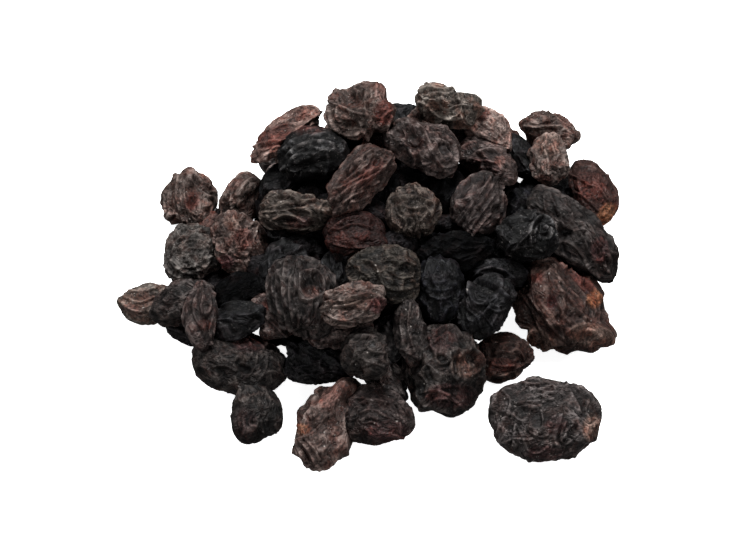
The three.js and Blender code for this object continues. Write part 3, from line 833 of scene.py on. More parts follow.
# Crests in a tinted place take the tint, this many times brighter, as their dusted colour with its painted
# sheen.
TINT_CREST = 4.0
TINT_FIRMNESS = 1.6
TINTS = {
    "left_back": ((0.5, 205, 172, 9, 6, 0, "tan"), (0.7, 192, 200, 12, 9, 60, "red")),
    "left_tip": ((0.5, 134, 312, 14, 7, -20, "red"), (0.4, 148, 297, 14, 6, 0, "rose")),
    "left_pink": (
        (0.6, 243, 240, 14, 10, 90, "red"), (0.5, 232, 222, 11, 8, 0, "tan"),
        (1.0, 226, 262, 10, 9, 0, "plum"),
    ),
    "left_ridge": ((0.5, 206, 325, 8, 8, 0, "red"),),
    "left_wedge": ((0.7, 268, 305, 8, 7, 0, "red"),),
    "back_olive": ((0.6, 235, 184, 11, 6, 45, "rose"),),
    "back_long": ((0.8, 275, 137, 24, 13, 30, "red"), (0.5, 300, 115, 16, 8, 30, "rose")),
    "back_coal": ((0.6, 311, 130, 24, 7, 5, "red"),),
    "back_tall": ((1.0, 384, 112, 17, 11, 80, "red"), (0.6, 379, 92, 10, 8, 90, "rose")),
    "back_red": ((0.8, 480, 115, 13, 9, 0, "red"), (0.5, 466, 128, 9, 6, -40, "plum")),
    "back_nub": ((0.7, 500, 160, 7, 7, 0, "rose"), (0.4, 485, 165, 20, 9, -20, "plum")),
    "back_grey": ((0.9, 567, 122, 9, 8, 0, "rose"),),
    "back_post": ((0.5, 548, 145, 16, 14, 0, "tan"), (0.4, 545, 180, 10, 8, 0, "red")),
    "right_back": ((0.7, 589, 184, 18, 16, 0, "red"), (1.0, 607, 213, 16, 12, 70, "painted_amber_glow")),
    "right_fold": ((0.5, 600, 250, 16, 12, 90, "plum"),),
    "right_big": (
        (0.8, 568, 261, 14, 8, -30, "rose"), (1.0, 583, 281, 16, 7, -35, "red"),
        (1.0, 594, 298, 11, 9, 90, "painted_amber_glow"), (0.9, 537, 277, 8, 6, 0, "red"),
        (0.8, 552, 301, 9, 7, 90, "plum"), (0.6, 590, 334, 26, 14, -10, "tan"),
        (0.5, 540, 338, 22, 10, -30, "tan"),
    ),
    "mid_olive": ((0.9, 374, 305, 11, 10, 0, "plum"), (0.5, 350, 303, 14, 6, 0, "tan")),
    "mid_great": ((0.5, 315, 292, 10, 9, 0, "rose"),),
    "mid_rose": ((0.7, 370, 174, 20, 9, 45, "red"), (0.4, 350, 186, 14, 9, 45, "rose")),
    "mid_red": ((0.3, 349, 239, 20, 11, 0, "red"),),
    "front_round": ((0.5, 384, 428, 26, 14, 0, "plum"),),
    "mid_slate": ((0.5, 300, 222, 18, 7, 0, "plum"),),
    "front_brown": ((0.9, 333, 396, 18, 11, 60, "rose"), (0.6, 305, 428, 9, 7, 0, "painted_amber_glow")),
    "front_big": (
        (0.7, 482, 346, 22, 7, 80, "rose"), (0.4, 450, 394, 30, 16, 0, "plum"),
        (0.25, 440, 338, 22, 16, 20, "plum"), (0.3, 464, 363, 18, 16, 0, "tan"),
    ),
    "front_small": ((0.2, 244, 410, 20, 14, 90, "plum"),),
    "front_left": ((0.5, 250, 344, 20, 11, 0, "plum"),),
    "front_right": ((0.7, 502, 364, 18, 9, 0, "red"), (0.5, 512, 375, 13, 6, 0, "tan")),
    "apart": (
        (0.9, 592, 426, 17, 11, 80, "tan"), (0.5, 545, 452, 24, 9, 0, "plum"),
        (0.4, 556, 424, 14, 12, 0, "plum"),
    ),
}

# Dents: depth in mm, middle, half length and half width, turn in degrees; how much painted shade a dent
# lays on the crests that it crosses, and its own share of crest.
DENT_PAINTED_SHADE = 0.7
DENT_CREST = 0.20
DENTS = {
    "left_back": ((0.5, 192, 200, 9, 5, 60), (0.5, 204, 190, 10, 3, -30)),
    "left_mid": ((0.5, 192, 272, 13, 3, -5),),
    "left_tip": ((0.5, 156, 321, 9, 5, 10), (0.3, 140, 300, 10, 4, 0)),
    "left_pink": ((0.4, 232, 228, 5, 4, 0), (0.5, 244, 245, 4, 5, 0), (0.3, 225, 250, 4, 3, 0)),
    "back_olive": ((0.4, 231, 194, 10, 4, 60),),
    "mid_slate": ((0.5, 290, 221, 9, 3, 0), (0.5, 298, 206, 13, 3, 0)),
    "back_coal": ((1.0, 305, 168, 13, 9, 20),),
    "back_long": ((0.7, 297, 134, 26, 3, 38), (0.3, 272, 157, 5, 5, 0)),
    "back_tall": (
        (1.1, 350, 99, 17, 10, 8), (0.9, 350, 125, 10, 6, -20), (0.8, 377, 136, 6, 8, 0),
        (0.5, 378, 112, 5, 8, 20),
    ),
    "back_dent": ((1.4, 410, 139, 18, 12, -50), (0.9, 445, 149, 10, 8, -40), (0.6, 397, 132, 6, 7, -50)),
    "back_peak": ((0.5, 452, 101, 12, 6, -20), (0.5, 432, 97, 9, 4, 10), (0.7, 437, 113, 6, 3, -40)),
    "back_red": ((0.4, 480, 118, 8, 5, -30),),
    "back_grey": ((0.3, 548, 123, 14, 3, 0),),
    "back_post": ((0.7, 540, 150, 7, 3, 60), (0.6, 555, 169, 5, 4, 0)),
    "mid_rose": ((0.6, 352, 172, 12, 3, 45), (0.5, 378, 163, 6, 4, 40)),
    "mid_cube": ((0.3, 413, 209, 10, 3, -5),),
    "mid_great": ((0.8, 314, 286, 13, 9, 80),),
    "mid_olive": ((0.4, 345, 308, 12, 3, 5),),
    "mid_leaf": ((0.4, 285, 256, 8, 4, 20),),
    "left_wedge": ((0.5, 268, 304, 6, 4, 90),),
    "right_curl": ((0.7, 543, 232, 8, 6, 90),),
    "right_fold": ((0.6, 566, 233, 9, 8, 0), (0.5, 606, 260, 8, 3, 90), (0.6, 557, 213, 10, 3, -65)),
    "right_back": ((0.3, 588, 182, 12, 4, 90),),
    "right_big": (
        (0.6, 588, 288, 13, 6, -45), (0.7, 551, 300, 7, 5, 90), (0.5, 558, 318, 6, 5, 0),
        (0.3, 585, 335, 12, 8, 0),
    ),
    "right_black": ((0.7, 485, 287, 15, 7, -12),),
    "front_left": ((0.5, 245, 370, 10, 5, -20), (0.4, 272, 345, 9, 5, 90)),
    "front_small": ((0.3, 247, 408, 8, 6, 90), (0.3, 270, 412, 9, 5, 90)),
    "front_brown": ((0.5, 318, 428, 16, 3, 42), (0.6, 309, 452, 14, 3, -58)),
    "front_round": ((0.4, 368, 420, 12, 6, 0),),
    "front_big": (
        (0.7, 470, 357, 9, 7, 90), (0.5, 455, 362, 9, 4, 90), (0.4, 450, 389, 12, 4, 0),
        (0.5, 440, 357, 7, 6, 0),
    ),
    "apart": ((0.6, 573, 430, 10, 5, 50), (0.4, 584, 408, 9, 6, 90), (0.3, 540, 418, 14, 10, 0)),
}

# Swellings at the rim: height in mm, and the rest as for the dents.
SWELLS = {
    "right_big": (
        (1.8, 606, 334, 22, 14, -20), (1.8, 534, 342, 20, 12, -30), (0.8, 522, 320, 22, 8, 80),
        (-0.8, 608, 304, 16, 8, 80), (-0.6, 580, 356, 14, 8, 0),
    ),
    "apart": ((0.5, 500, 444, 20, 12, -45), (0.6, 506, 393, 12, 8, 40), (-0.8, 588, 452, 16, 10, 45)),
    "front_brown": ((2.6, 351, 388, 18, 12, 0), (-0.8, 297, 462, 12, 8, -50), (0.8, 300, 415, 18, 8, 70)),
    "front_big": ((0.9, 420, 400, 16, 12, -60),),
    "front_black": ((2.2, 286, 348, 14, 9, 0),),
    "left_wedge": ((0.9, 264, 333, 12, 8, 0),),
    "back_tall": ((1.2, 335, 94, 14, 9, 45), (0.8, 378, 90, 12, 8, -40)),
    "back_grey": ((0.8, 566, 148, 8, 6, 90),),
    "left_back": ((0.9, 169, 219, 12, 8, -45),),
}

# Folds: across and down of each point along the crest, first of the bold folds and then of the
# thin ones; the height and width of both in mm. Beside a fold runs a groove: how many fold widths
# away, its depth beside the fold's height, and how much painted shade it lays on the crests. A fold
# of the full height shows fully in the net of creases.
FOLD_SIZES = ((0.50, 0.24), (0.30, 0.17))
CORNER_CUTS = 2
GROOVE_AT = 2.2
GROOVE_DEPTH = 0.3
GROOVE_PAINTED_SHADE = 0.6
FULL_FOLD = 0.4
CREASES = {
    "left_back": (
        ((190, 178, 194, 186, 203, 190, 211, 196), (195, 172, 199, 180, 209, 185)),
        ((170, 185, 168, 200, 170, 214, 176, 225), (178, 175, 175, 190, 178, 205, 184, 222),
         (165, 190, 164, 204, 167, 218), (186, 178, 184, 192, 186, 208, 196, 214)),
    ),
    "left_mid": (
        ((173, 262, 179, 270, 191, 275, 206, 270, 213, 258),),
        ((168, 252, 174, 238, 185, 230, 198, 227), (180, 246, 190, 242, 202, 241, 211, 248),
         (184, 263, 184, 253, 193, 249, 203, 251), (166, 266, 175, 277, 190, 281, 205, 277),
         (188, 262, 190, 256, 197, 255, 199, 261), (174, 255, 179, 242, 189, 235)),
    ),
    "left_tip": (
        ((122, 303, 131, 311, 145, 318, 155, 310, 166, 304),),
        ((125, 298, 140, 305, 152, 301, 165, 295), (130, 292, 142, 294, 152, 291, 164, 287),
         (127, 310, 137, 318, 150, 324)),
    ),
    "left_ridge": (
        ((197, 300, 195, 310, 198, 320, 204, 328), (205, 297, 202, 309, 206, 318, 212, 310, 211, 299)),
        ((214, 289, 208, 304), (198, 292, 204, 288, 212, 290)),
    ),
    "left_under": (((170, 328, 180, 332, 190, 336, 201, 338),), ((184, 325, 194, 330, 206, 338),)),
    "left_pink": (
        ((225, 216, 232, 210, 240, 215, 247, 222, 256, 222), (218, 240, 226, 238, 228, 246, 223, 252),
         (240, 235, 236, 244, 239, 253, 246, 256, 250, 249)),
        ((222, 226, 230, 222, 235, 230, 241, 231), (222, 256, 230, 255, 233, 264),
         (255, 218, 258, 229, 253, 240), (228, 218, 231, 224, 239, 224)),
    ),
    "back_olive": (
        ((238, 206, 240, 192, 246, 182, 252, 179),),
        ((222, 206, 225, 191, 233, 180, 243, 176), (229, 205, 231, 192, 239, 182)),
    ),
    "mid_slate": (
        ((262, 206, 270, 200, 281, 196, 292, 198, 303, 202, 314, 200),
         (272, 221, 285, 214, 297, 217, 307, 224)),
        ((263, 212, 275, 212, 290, 210, 305, 206, 315, 205), (274, 222, 285, 228, 297, 228, 307, 224),
         (330, 199, 322, 204, 318, 212, 320, 222, 326, 226), (282, 193, 290, 195, 297, 202)),
    ),
    "back_coal": (
        ((285, 161, 292, 150, 305, 143, 320, 141, 333, 144), (284, 150, 295, 140, 310, 135, 329, 134)),
        ((288, 166, 296, 153, 310, 147, 325, 150, 329, 162, 325, 175),
         (280, 172, 290, 159, 300, 154, 314, 154), (290, 144, 303, 138, 320, 137),
         (296, 131, 310, 128, 326, 129)),
    ),
    "back_long": (
        ((255, 147, 269, 142, 283, 141, 295, 133, 308, 122, 325, 111),),
        ((262, 151, 275, 147, 289, 146), (268, 132, 282, 126, 296, 124), (300, 128, 314, 118, 326, 116)),
    ),
    "back_tall": (
        ((330, 103, 337, 93, 347, 88, 362, 87, 366, 96, 364, 108, 367, 116),
         (331, 104, 343, 106, 350, 112, 360, 115, 367, 116),
         (328, 104, 330, 117, 334, 128, 345, 134, 356, 135, 363, 129, 358, 120),
         (363, 131, 369, 142, 379, 147, 386, 140, 386, 128, 391, 117)),
        ((369, 86, 371, 97), (375, 86, 376, 98, 370, 106), (380, 126, 384, 115, 392, 110),
         (340, 126, 350, 130, 360, 128), (337, 108, 336, 118, 341, 122)),
    ),
    "back_dent": (
        ((392, 126, 400, 121, 409, 121, 419, 126, 427, 137, 428, 150, 436, 160, 441, 166),
         (430, 135, 441, 134, 450, 141, 456, 151, 457, 162, 451, 167, 441, 167)),
        ((433, 141, 440, 150, 441, 161), (402, 124, 403, 136, 397, 142),
         (412, 172, 420, 178, 432, 180, 441, 178), (398, 152, 406, 163, 419, 166, 430, 163),
         (424, 133, 431, 146, 434, 156)),
    ),
    "back_rim": (
        ((415, 112, 430, 118, 445, 127, 455, 135),),
        ((424, 120, 440, 130, 452, 140), (400, 116, 412, 114, 424, 117)),
    ),
    "back_peak": (
        ((414, 102, 425, 105, 432, 112, 440, 118, 448, 120, 461, 118), (418, 92, 428, 88, 441, 92, 453, 89)),
        ((425, 97, 435, 93, 446, 96, 456, 90), (440, 108, 447, 112, 457, 105, 469, 108)),
    ),
    "back_red": (
        ((462, 120, 470, 128, 479, 137),),
        ((478, 132, 488, 140, 501, 145), (466, 112, 476, 114, 486, 118), (484, 126, 494, 132, 503, 140)),
    ),
    "back_nub": (
        ((468, 160, 478, 150, 490, 148, 505, 150),),
        ((466, 166, 480, 158, 496, 162), (474, 170, 484, 165, 497, 170)),
    ),
    "back_grey": (
        ((525, 127, 535, 129, 546, 127, 560, 127),),
        ((531, 114, 545, 119, 556, 116), (548, 112, 550, 121)),
    ),
    "back_post": (
        ((532, 151, 540, 138, 550, 132, 560, 140, 565, 155, 567, 170),),
        ((534, 155, 543, 148, 548, 160, 548, 178), (538, 160, 538, 175, 545, 185),
         (553, 172, 560, 176, 567, 172), (551, 145, 555, 155, 552, 161)),
    ),
    "mid_rose": (
        ((338, 200, 348, 190, 360, 183, 372, 178, 385, 168, 391, 158),
         (333, 195, 340, 180, 350, 168, 360, 160, 372, 152)),
        ((343, 203, 355, 195, 368, 190, 379, 182), (368, 158, 378, 155, 384, 162, 391, 160),
         (345, 182, 358, 173, 370, 165, 373, 155), (336, 190, 345, 187, 353, 182, 364, 176),
         (350, 203, 362, 200, 371, 195)),
    ),
    "mid_red": (
        ((330, 232, 341, 222, 356, 217, 372, 221, 384, 232),),
        ((338, 230, 355, 223, 372, 229), (334, 244, 350, 248, 368, 247)),
    ),
    "mid_cube": (
        ((395, 200, 405, 196, 418, 198, 431, 203), (400, 206, 412, 209, 423, 208)),
        ((392, 205, 393, 220, 397, 235, 404, 242, 416, 241), (398, 214, 408, 222, 404, 231),
         (414, 214, 419, 224, 414, 233)),
    ),
    "right_leaf": (
        ((452, 243, 465, 225, 480, 205, 494, 185, 499, 174), (497, 175, 496, 190, 498, 205, 497, 218)),
        ((447, 234, 460, 217, 474, 200, 488, 182), (461, 240, 475, 222, 488, 205, 495, 195),
         (503, 178, 503, 195, 502, 212), (456, 228, 468, 211, 482, 193, 491, 177),
         (470, 238, 481, 224, 490, 214)),
    ),
    "right_curl": (
        ((530, 246, 529, 232, 533, 221, 542, 216, 550, 221, 553, 230, 548, 239),),
        ((534, 243, 534, 230, 540, 223, 548, 228, 549, 236), (539, 240, 540, 232, 546, 232),
         (519, 243, 527, 236, 528, 226), (511, 250, 522, 247, 532, 246, 541, 252),
         (505, 260, 512, 252, 522, 240)),
    ),
    "right_fold": (
        ((545, 193, 560, 195, 572, 205, 585, 210, 598, 218, 608, 230, 613, 245),
         (555, 243, 565, 241, 575, 246, 583, 255, 588, 268, 599, 276)),
        ((544, 196, 545, 210, 550, 225, 553, 236), (550, 195, 558, 212, 564, 226),
         (580, 215, 590, 225, 597, 240, 600, 255), (600, 245, 608, 250, 611, 262, 608, 272),
         (572, 222, 583, 236, 588, 250)),
    ),
    "right_back": (
        (),
        ((568, 172, 580, 178, 590, 183), (575, 190, 585, 196, 596, 208), (597, 172, 599, 186, 606, 198)),
    ),
    "right_big": (
        ((550, 266, 551, 281, 555, 295, 561, 310, 570, 322),
         (553, 278, 562, 290, 572, 300, 580, 312, 590, 320, 598, 322),
         (563, 262, 576, 270, 590, 283, 601, 297, 604, 306),
         (566, 333, 575, 325, 590, 322, 602, 330, 608, 343)),
        ((532, 262, 545, 258, 560, 257, 571, 252), (548, 270, 540, 275, 533, 286),
         (557, 274, 566, 287, 578, 296), (520, 290, 526, 300, 533, 310, 538, 325, 545, 336),
         (528, 294, 535, 305, 545, 318, 555, 330, 568, 342), (540, 300, 550, 312, 560, 325, 567, 340),
         (568, 276, 578, 288, 590, 300, 597, 312)),
    ),
    "mid_great": (
        ((290, 262, 287, 280, 287, 300, 291, 320, 295, 340),
         (304, 275, 312, 271, 322, 272, 328, 285, 326, 297, 315, 301, 305, 302, 304, 290, 304, 275)),
        ((283, 264, 280, 280, 280, 300, 284, 318, 290, 335),
         (301, 261, 297, 272, 293, 285, 293, 305, 298, 326), (309, 262, 323, 263),
         (285, 330, 297, 342, 311, 339), (300, 306, 303, 320, 302, 334), (297, 268, 300, 282, 299, 296)),
    ),
    "mid_olive": (
        ((322, 303, 335, 299, 350, 297, 365, 293, 378, 297, 383, 304, 380, 312),),
        ((322, 313, 335, 320, 350, 318, 361, 311, 368, 300, 375, 296), (330, 306, 345, 305, 358, 300),
         (372, 300, 377, 306, 374, 313)),
    ),
    "mid_under": (
        ((315, 320, 322, 328, 321, 341),),
        ((328, 315, 338, 323, 351, 325), (328, 335, 338, 330, 348, 333)),
    ),
    "mid_leaf": (
        ((270, 270, 270, 255, 278, 248, 290, 246, 304, 247),),
        ((275, 262, 283, 255, 296, 252), (265, 286, 268, 276, 276, 268), (292, 250, 298, 258, 306, 256)),
    ),
    "mid_low": ((), ((335, 262, 332, 274, 336, 286), (341, 264, 343, 276))),
    "mid_fleck": (
        ((357, 262, 370, 261, 378, 269, 382, 284, 395, 291, 411, 287),),
        ((362, 272, 370, 276, 372, 286), (385, 262, 398, 261, 410, 268), (390, 272, 400, 279, 412, 277)),
    ),
    "mid_knob": (
        ((350, 346, 352, 338, 362, 335, 376, 338),),
        ((355, 342, 355, 353, 351, 365), (365, 345, 372, 352, 384, 352), (362, 366, 372, 362, 383, 366)),
    ),
    "mid_fan": (
        (),
        ((380, 322, 388, 330, 392, 346), (386, 320, 394, 332, 396, 348), (376, 326, 382, 334, 386, 348)),
    ),
    "mid_post": (
        ((405, 312, 402, 325, 405, 340, 403, 353),),
        ((412, 305, 410, 316, 409, 330, 413, 345, 416, 353), (418, 306, 420, 318, 415, 328)),
    ),
    "left_wedge": (
        ((257, 311, 262, 300, 270, 297, 276, 305, 281, 319),),
        ((260, 313, 268, 320, 276, 327, 284, 336),),
    ),
    "mid_black": (
        (),
        ((430, 280, 438, 283, 450, 280), (430, 288, 440, 291, 452, 288), (431, 296, 442, 299, 452, 296),
         (446, 268, 454, 275, 457, 286)),
    ),
    "right_black": (
        ((467, 292, 471, 281, 480, 278, 491, 281, 500, 288, 508, 296),
         (471, 284, 470, 293, 474, 303, 484, 304, 488, 296)),
        ((475, 290, 476, 298, 484, 300), (470, 310, 478, 316, 481, 326), (488, 307, 497, 311, 505, 308),
         (480, 310, 487, 318, 493, 326)),
    ),
    "mid_stripe": (
        ((446, 243, 456, 247, 468, 244),),
        ((425, 238, 440, 242, 455, 240), (428, 258, 438, 250, 450, 248),
         (456, 262, 466, 257, 478, 255, 485, 248), (430, 246, 444, 250, 452, 256)),
    ),
    "right_cap": (((472, 278, 480, 270, 490, 268, 502, 271, 512, 279),), ((480, 274, 490, 273, 500, 277),)),
    "front_left": (
        ((222, 336, 235, 332, 250, 332, 264, 340, 272, 352),),
        ((248, 340, 254, 350, 250, 362), (224, 348, 236, 345, 246, 352, 244, 364),
         (214, 368, 226, 366, 236, 372), (258, 355, 256, 368, 248, 378), (268, 358, 267, 370, 260, 380)),
    ),
    "front_small": (
        (),
        ((244, 392, 240, 402, 243, 414, 240, 426), (260, 396, 250, 402, 246, 412, 256, 414),
         (236, 396, 232, 408, 235, 420), (264, 400, 258, 410, 262, 420)),
    ),
    "front_brown": (
        ((336, 413, 328, 417, 320, 427, 308, 436), (302, 438, 310, 450, 317, 462, 322, 468)),
        ((306, 436, 316, 446, 322, 458), (328, 430, 336, 434, 342, 432), (340, 396, 336, 404, 337, 414),
         (298, 436, 300, 448, 308, 460)),
    ),
    "front_round": (
        ((348, 422, 350, 410, 358, 401, 370, 396, 384, 400),),
        ((358, 410, 366, 406, 376, 408, 384, 414), (390, 402, 396, 412, 394, 424),
         (362, 420, 370, 418, 376, 423), (366, 430, 376, 434, 390, 432, 404, 436),
         (384, 396, 395, 401, 402, 412)),
    ),
    "front_big": (
        ((432, 333, 440, 326, 452, 324, 458, 332, 466, 344, 478, 352, 482, 364),
         (458, 376, 456, 362, 461, 350, 470, 348, 480, 356, 478, 370, 466, 374)),
        ((436, 345, 434, 356, 440, 364, 449, 360, 449, 350), (420, 390, 434, 388, 446, 392, 454, 400),
         (424, 402, 438, 396, 452, 398, 462, 406), (450, 362, 451, 374, 457, 379),
         (418, 372, 426, 380, 424, 390), (486, 340, 484, 352, 485, 364), (466, 384, 474, 388, 476, 398),
         (422, 348, 430, 344, 438, 336)),
    ),
    "front_right": (
        (),
        ((494, 352, 504, 350, 514, 353), (492, 362, 503, 366, 514, 364), (498, 344, 508, 341, 519, 345)),
    ),
    "front_black": (
        (),
        ((300, 376, 312, 373, 322, 377), (318, 374, 330, 370, 342, 374), (290, 362, 298, 372)),
    ),
    "apart": (
        ((565, 402, 560, 404, 562, 412, 560, 422, 555, 432, 554, 441, 559, 444),
         (565, 380, 570, 392, 576, 402, 581, 412)),
        ((497, 414, 500, 425, 497, 434), (516, 424, 513, 438, 516, 448),
         (519, 428, 525, 440, 528, 450, 538, 452, 548, 446),
         (566, 421, 561, 431, 561, 441, 568, 443, 576, 434, 582, 430),
         (521, 381, 534, 384, 548, 382, 556, 387), (528, 401, 544, 400, 554, 398),
         (512, 418, 516, 408, 528, 404, 536, 406), (581, 384, 591, 396, 596, 405),
         (541, 410, 544, 420, 540, 432), (531, 432, 540, 437, 548, 434), (505, 392, 512, 400, 508, 412),
         (536, 388, 548, 392, 558, 391), (589, 398, 586, 410, 590, 420)),
    ),
}

# Sugary specks with painted glints: middle, and their reach in picture points.
SUGAR_AND_GLINT_REACH = 1.0
SUGAR_AND_GLINT_PLACES = {
    "left_pink": ((256, 232),),
    "mid_slate": ((281, 202),),
    "mid_fleck": ((376, 266), (378, 272)),
    "mid_knob": ((367, 352), (355, 364)),
    "mid_post": ((407, 311), (412, 328)),
    "front_brown": ((327, 431), (337, 434), (327, 445)),
    "front_round": ((394, 418), (372, 420)),
    "right_black": ((469, 290),),
    "right_big": ((541, 285), (549, 273), (590, 320)),
    "front_big": ((423, 382), (470, 374)),
    "apart": ((513, 444), (556, 443), (501, 415)),
}

# Dents and folds fade towards the edge of the side that the eye sees.
FRONT_EDGE = 0.25


def seen_at(spots):
    """Picture points of places in metres, and how many millimetres one point is there."""
    away = spots / MM - np.array(EYE)
    depth = away @ np.array(VIEW_FORWARD)
    across = VIEW_WIDTH / 2 + FOCAL_POINTS * (away @ np.array(VIEW_RIGHT)) / depth
    down = VIEW_HEIGHT / 2 - FOCAL_POINTS * (away @ np.array(VIEW_UP)) / depth
    return np.stack((across, down), axis=-1), depth / FOCAL_POINTS


def rounded(line):
    """Cuts the corners of a bent line."""
    line = np.array(line, float).reshape(-1, 2)
    for _ in range(CORNER_CUTS):
        near = line[:-1] * 0.75 + line[1:] * 0.25
        far = line[:-1] * 0.25 + line[1:] * 0.75
        line = np.concatenate((line[:1], np.stack((near, far), axis=1).reshape(-1, 2), line[-1:]))
    return line


def line_distance(points, line):
    """How far points are from a bent line."""
    least = np.full(len(points), np.inf)
    for first, last in zip(line[:-1], line[1:]):
        span = last - first
        share = np.clip((points - first) @ span / max(span @ span, 1e-9), 0, 1)
        least = np.minimum(least, np.linalg.norm(points - first - share[:, None] * span, axis=1))
    return least


def bowls(points, rows):
    """Height or depth of each dent or swelling, and its smooth share from 1 in the middle to 0."""
    for size, across, down, long, wide, turn, *_ in rows:
        angle = math.radians(turn)
        right, up = points[:, 0] - across, down - points[:, 1]
        ahead = (right * math.cos(angle) + up * math.sin(angle)) / long
        aside = (up * math.cos(angle) - right * math.sin(angle)) / wide
        bowl = np.clip(1 - ahead ** 2 - aside ** 2, 0, 1)
        yield size, bowl * bowl * (3 - 2 * bowl)


def shaped(raisin, spots, marks):
    """Presses the dents into one raisin and raises its folds, on the side that the eye sees, and paints
    shade into the dents and the grooves beside the folds.
    """
    own, _ = seen_at(np.array([raisin.place * MM]))
    points, scale = seen_at(spots)
    points += np.array(raisin.drawn) - own
    away = spots / MM - np.array(raisin.place)
    out = sum(
        np.outer(away @ np.array(axis) / half ** 2, np.array(axis))
        for axis, half in zip(raisin.axes, raisin.half)
    )
    out /= np.linalg.norm(out, axis=1, keepdims=True)
    front = np.clip(out @ -np.array(VIEW_FORWARD) / FRONT_EDGE, 0, 1)
    height = np.zeros(len(spots))
    for depth, bowl in bowls(points, DENTS.get(raisin.name, ())):
        height -= bowl * depth * front
        marks["calm"] = np.maximum(marks["calm"], bowl * front)
        # Painted shade: the crests in the dent are dimmed, so its skin is coloured darker.
        marks["crest"] = marks["crest"] * (1 - DENT_PAINTED_SHADE * bowl * front) + DENT_CREST * bowl * front
    for tall, bowl in bowls(points, SWELLS.get(raisin.name, ())):
        height += bowl * tall
    for (tall, wide), lines in zip(FOLD_SIZES, CREASES.get(raisin.name, ())):
        for line in lines:
            share = line_distance(points, rounded(line)) * scale / wide
            fold = 1 / (1 + share ** 2)
            side = np.exp(-((share - GROOVE_AT) ** 2))
            height += (fold - GROOVE_DEPTH * side) * tall * front
            # Painted shade: the crests in the groove beside the fold are dimmed.
            marks["crest"] = marks["crest"] * (1 - GROOVE_PAINTED_SHADE * side * front)
            marks["fold"] = np.maximum(marks["fold"], fold * front * min(1, tall / FULL_FOLD))
    tints = TINTS.get(raisin.name, ())
    for (share, patch), row in zip(bowls(points, tints), tints):
        share = (share * np.minimum(1, patch * TINT_FIRMNESS))[:, None]
        tint = np.array(TINT_COLOURS[row[-1]])
        marks["tone"] = marks["tone"] * (1 - share) + tint * share
        marks["dusting"] = marks["dusting"] * (1 - share) + tint * TINT_CREST * share
    # Sugary specks with painted glints at the listed places.
    for speck in SUGAR_AND_GLINT_PLACES.get(raisin.name, ()):
        reach = np.linalg.norm(points - np.array(speck), axis=1) / SUGAR_AND_GLINT_REACH
        marks["sugar"] = np.maximum(marks["sugar"], np.exp(-reach ** 2) * front)
    spots += out * (height * MM)[:, None]


# Kinds of attribute, by how many numbers each point carries.
KINDS = {1: ("FLOAT", "value"), 3: ("FLOAT_VECTOR", "vector"), 4: ("FLOAT_COLOR", "color")}


def carry(mesh, name, values):
    """Gives each point of a mesh its number, vector or colour."""
    kind, field = KINDS[values.size // len(mesh.vertices)]
    layer = mesh.attributes.get(name) or mesh.attributes.new(name, kind, "POINT")
    layer.data.foreach_set(field, values.ravel())


def placed(name, data):
    """New object of the scene."""
    thing = bpy.data.objects.new(name, data)
    bpy.context.scene.collection.objects.link(thing)
    return thing


# Skin of the single raisins: first seed, half length of a usual raisin, least size of its panels
# and folds and how much they vary, room for the drift of the patterns, and the side of the far
# raisins on which the mesh is finest.
SKIN_SEEDS = 300
USUAL_HALF = 6.3
VARY_LEAST = 0.85
VARY_SPAN = 0.3
DRIFT_ROOM = 40
FAR_LOOKED_AT = Vector((0, 0.6, 0.8))

# What the skin tree reads from its points, and the finished piece doesn't keep.
GROWING = (
    "way", "depth", "start", "middle", "facing", "long", "half", "looked", "panels", "heights",
    "depths", "drift", "skin",
)


def points_of(raisins, first_seed):
    """Loose points, one for each raisin, that carry what the skin tree reads."""
    mesh = bpy.data.meshes.new("raisin points")
    mesh.from_pydata([raisin.place * MM for raisin in raisins], [], [])
    columns = {}
    for raisin, seed in zip(raisins, first_seed):
        looked = -VIEW_FORWARD if raisin.drawn else FAR_LOOKED_AT
        following = draws(seed + SKIN_SEEDS)
        panel_size, fold_width, fold_height, panel_depth, line, crinkle, split, run = FOLDS[raisin.folding]
        size = math.sqrt(raisin.half[0] / USUAL_HALF)
        vary = [VARY_LEAST + VARY_SPAN * following() for _ in range(3)]
        carried = {
            "middle": raisin.place * MM,
            "facing": raisin.axes[2],
            "long": raisin.axes[0],
            "half": Vector(raisin.half) * MM,
            "looked_at": Vector([looked.dot(axis) for axis in raisin.axes]),
            "panels": Vector((panel_size * size * vary[0], fold_width, run)),
            "heights": Vector((fold_height * size * vary[1], line, crinkle * vary[2])),
            "depths": Vector((panel_depth * size * vary[2], split * vary[1], 0)),
            "drift": Vector([DRIFT_ROOM * following() for _ in range(3)]),
        }
        for wave, (way, depth, start) in enumerate(swell_of(seed)):
            carried.update({f"way_{wave}": way, f"depth_{wave}": depth, f"start_{wave}": start})
        for name, value in carried.items():
            columns.setdefault(name, []).append(value)
    for name, values in columns.items():
        carry(mesh, name, np.array(values, float))
    return mesh


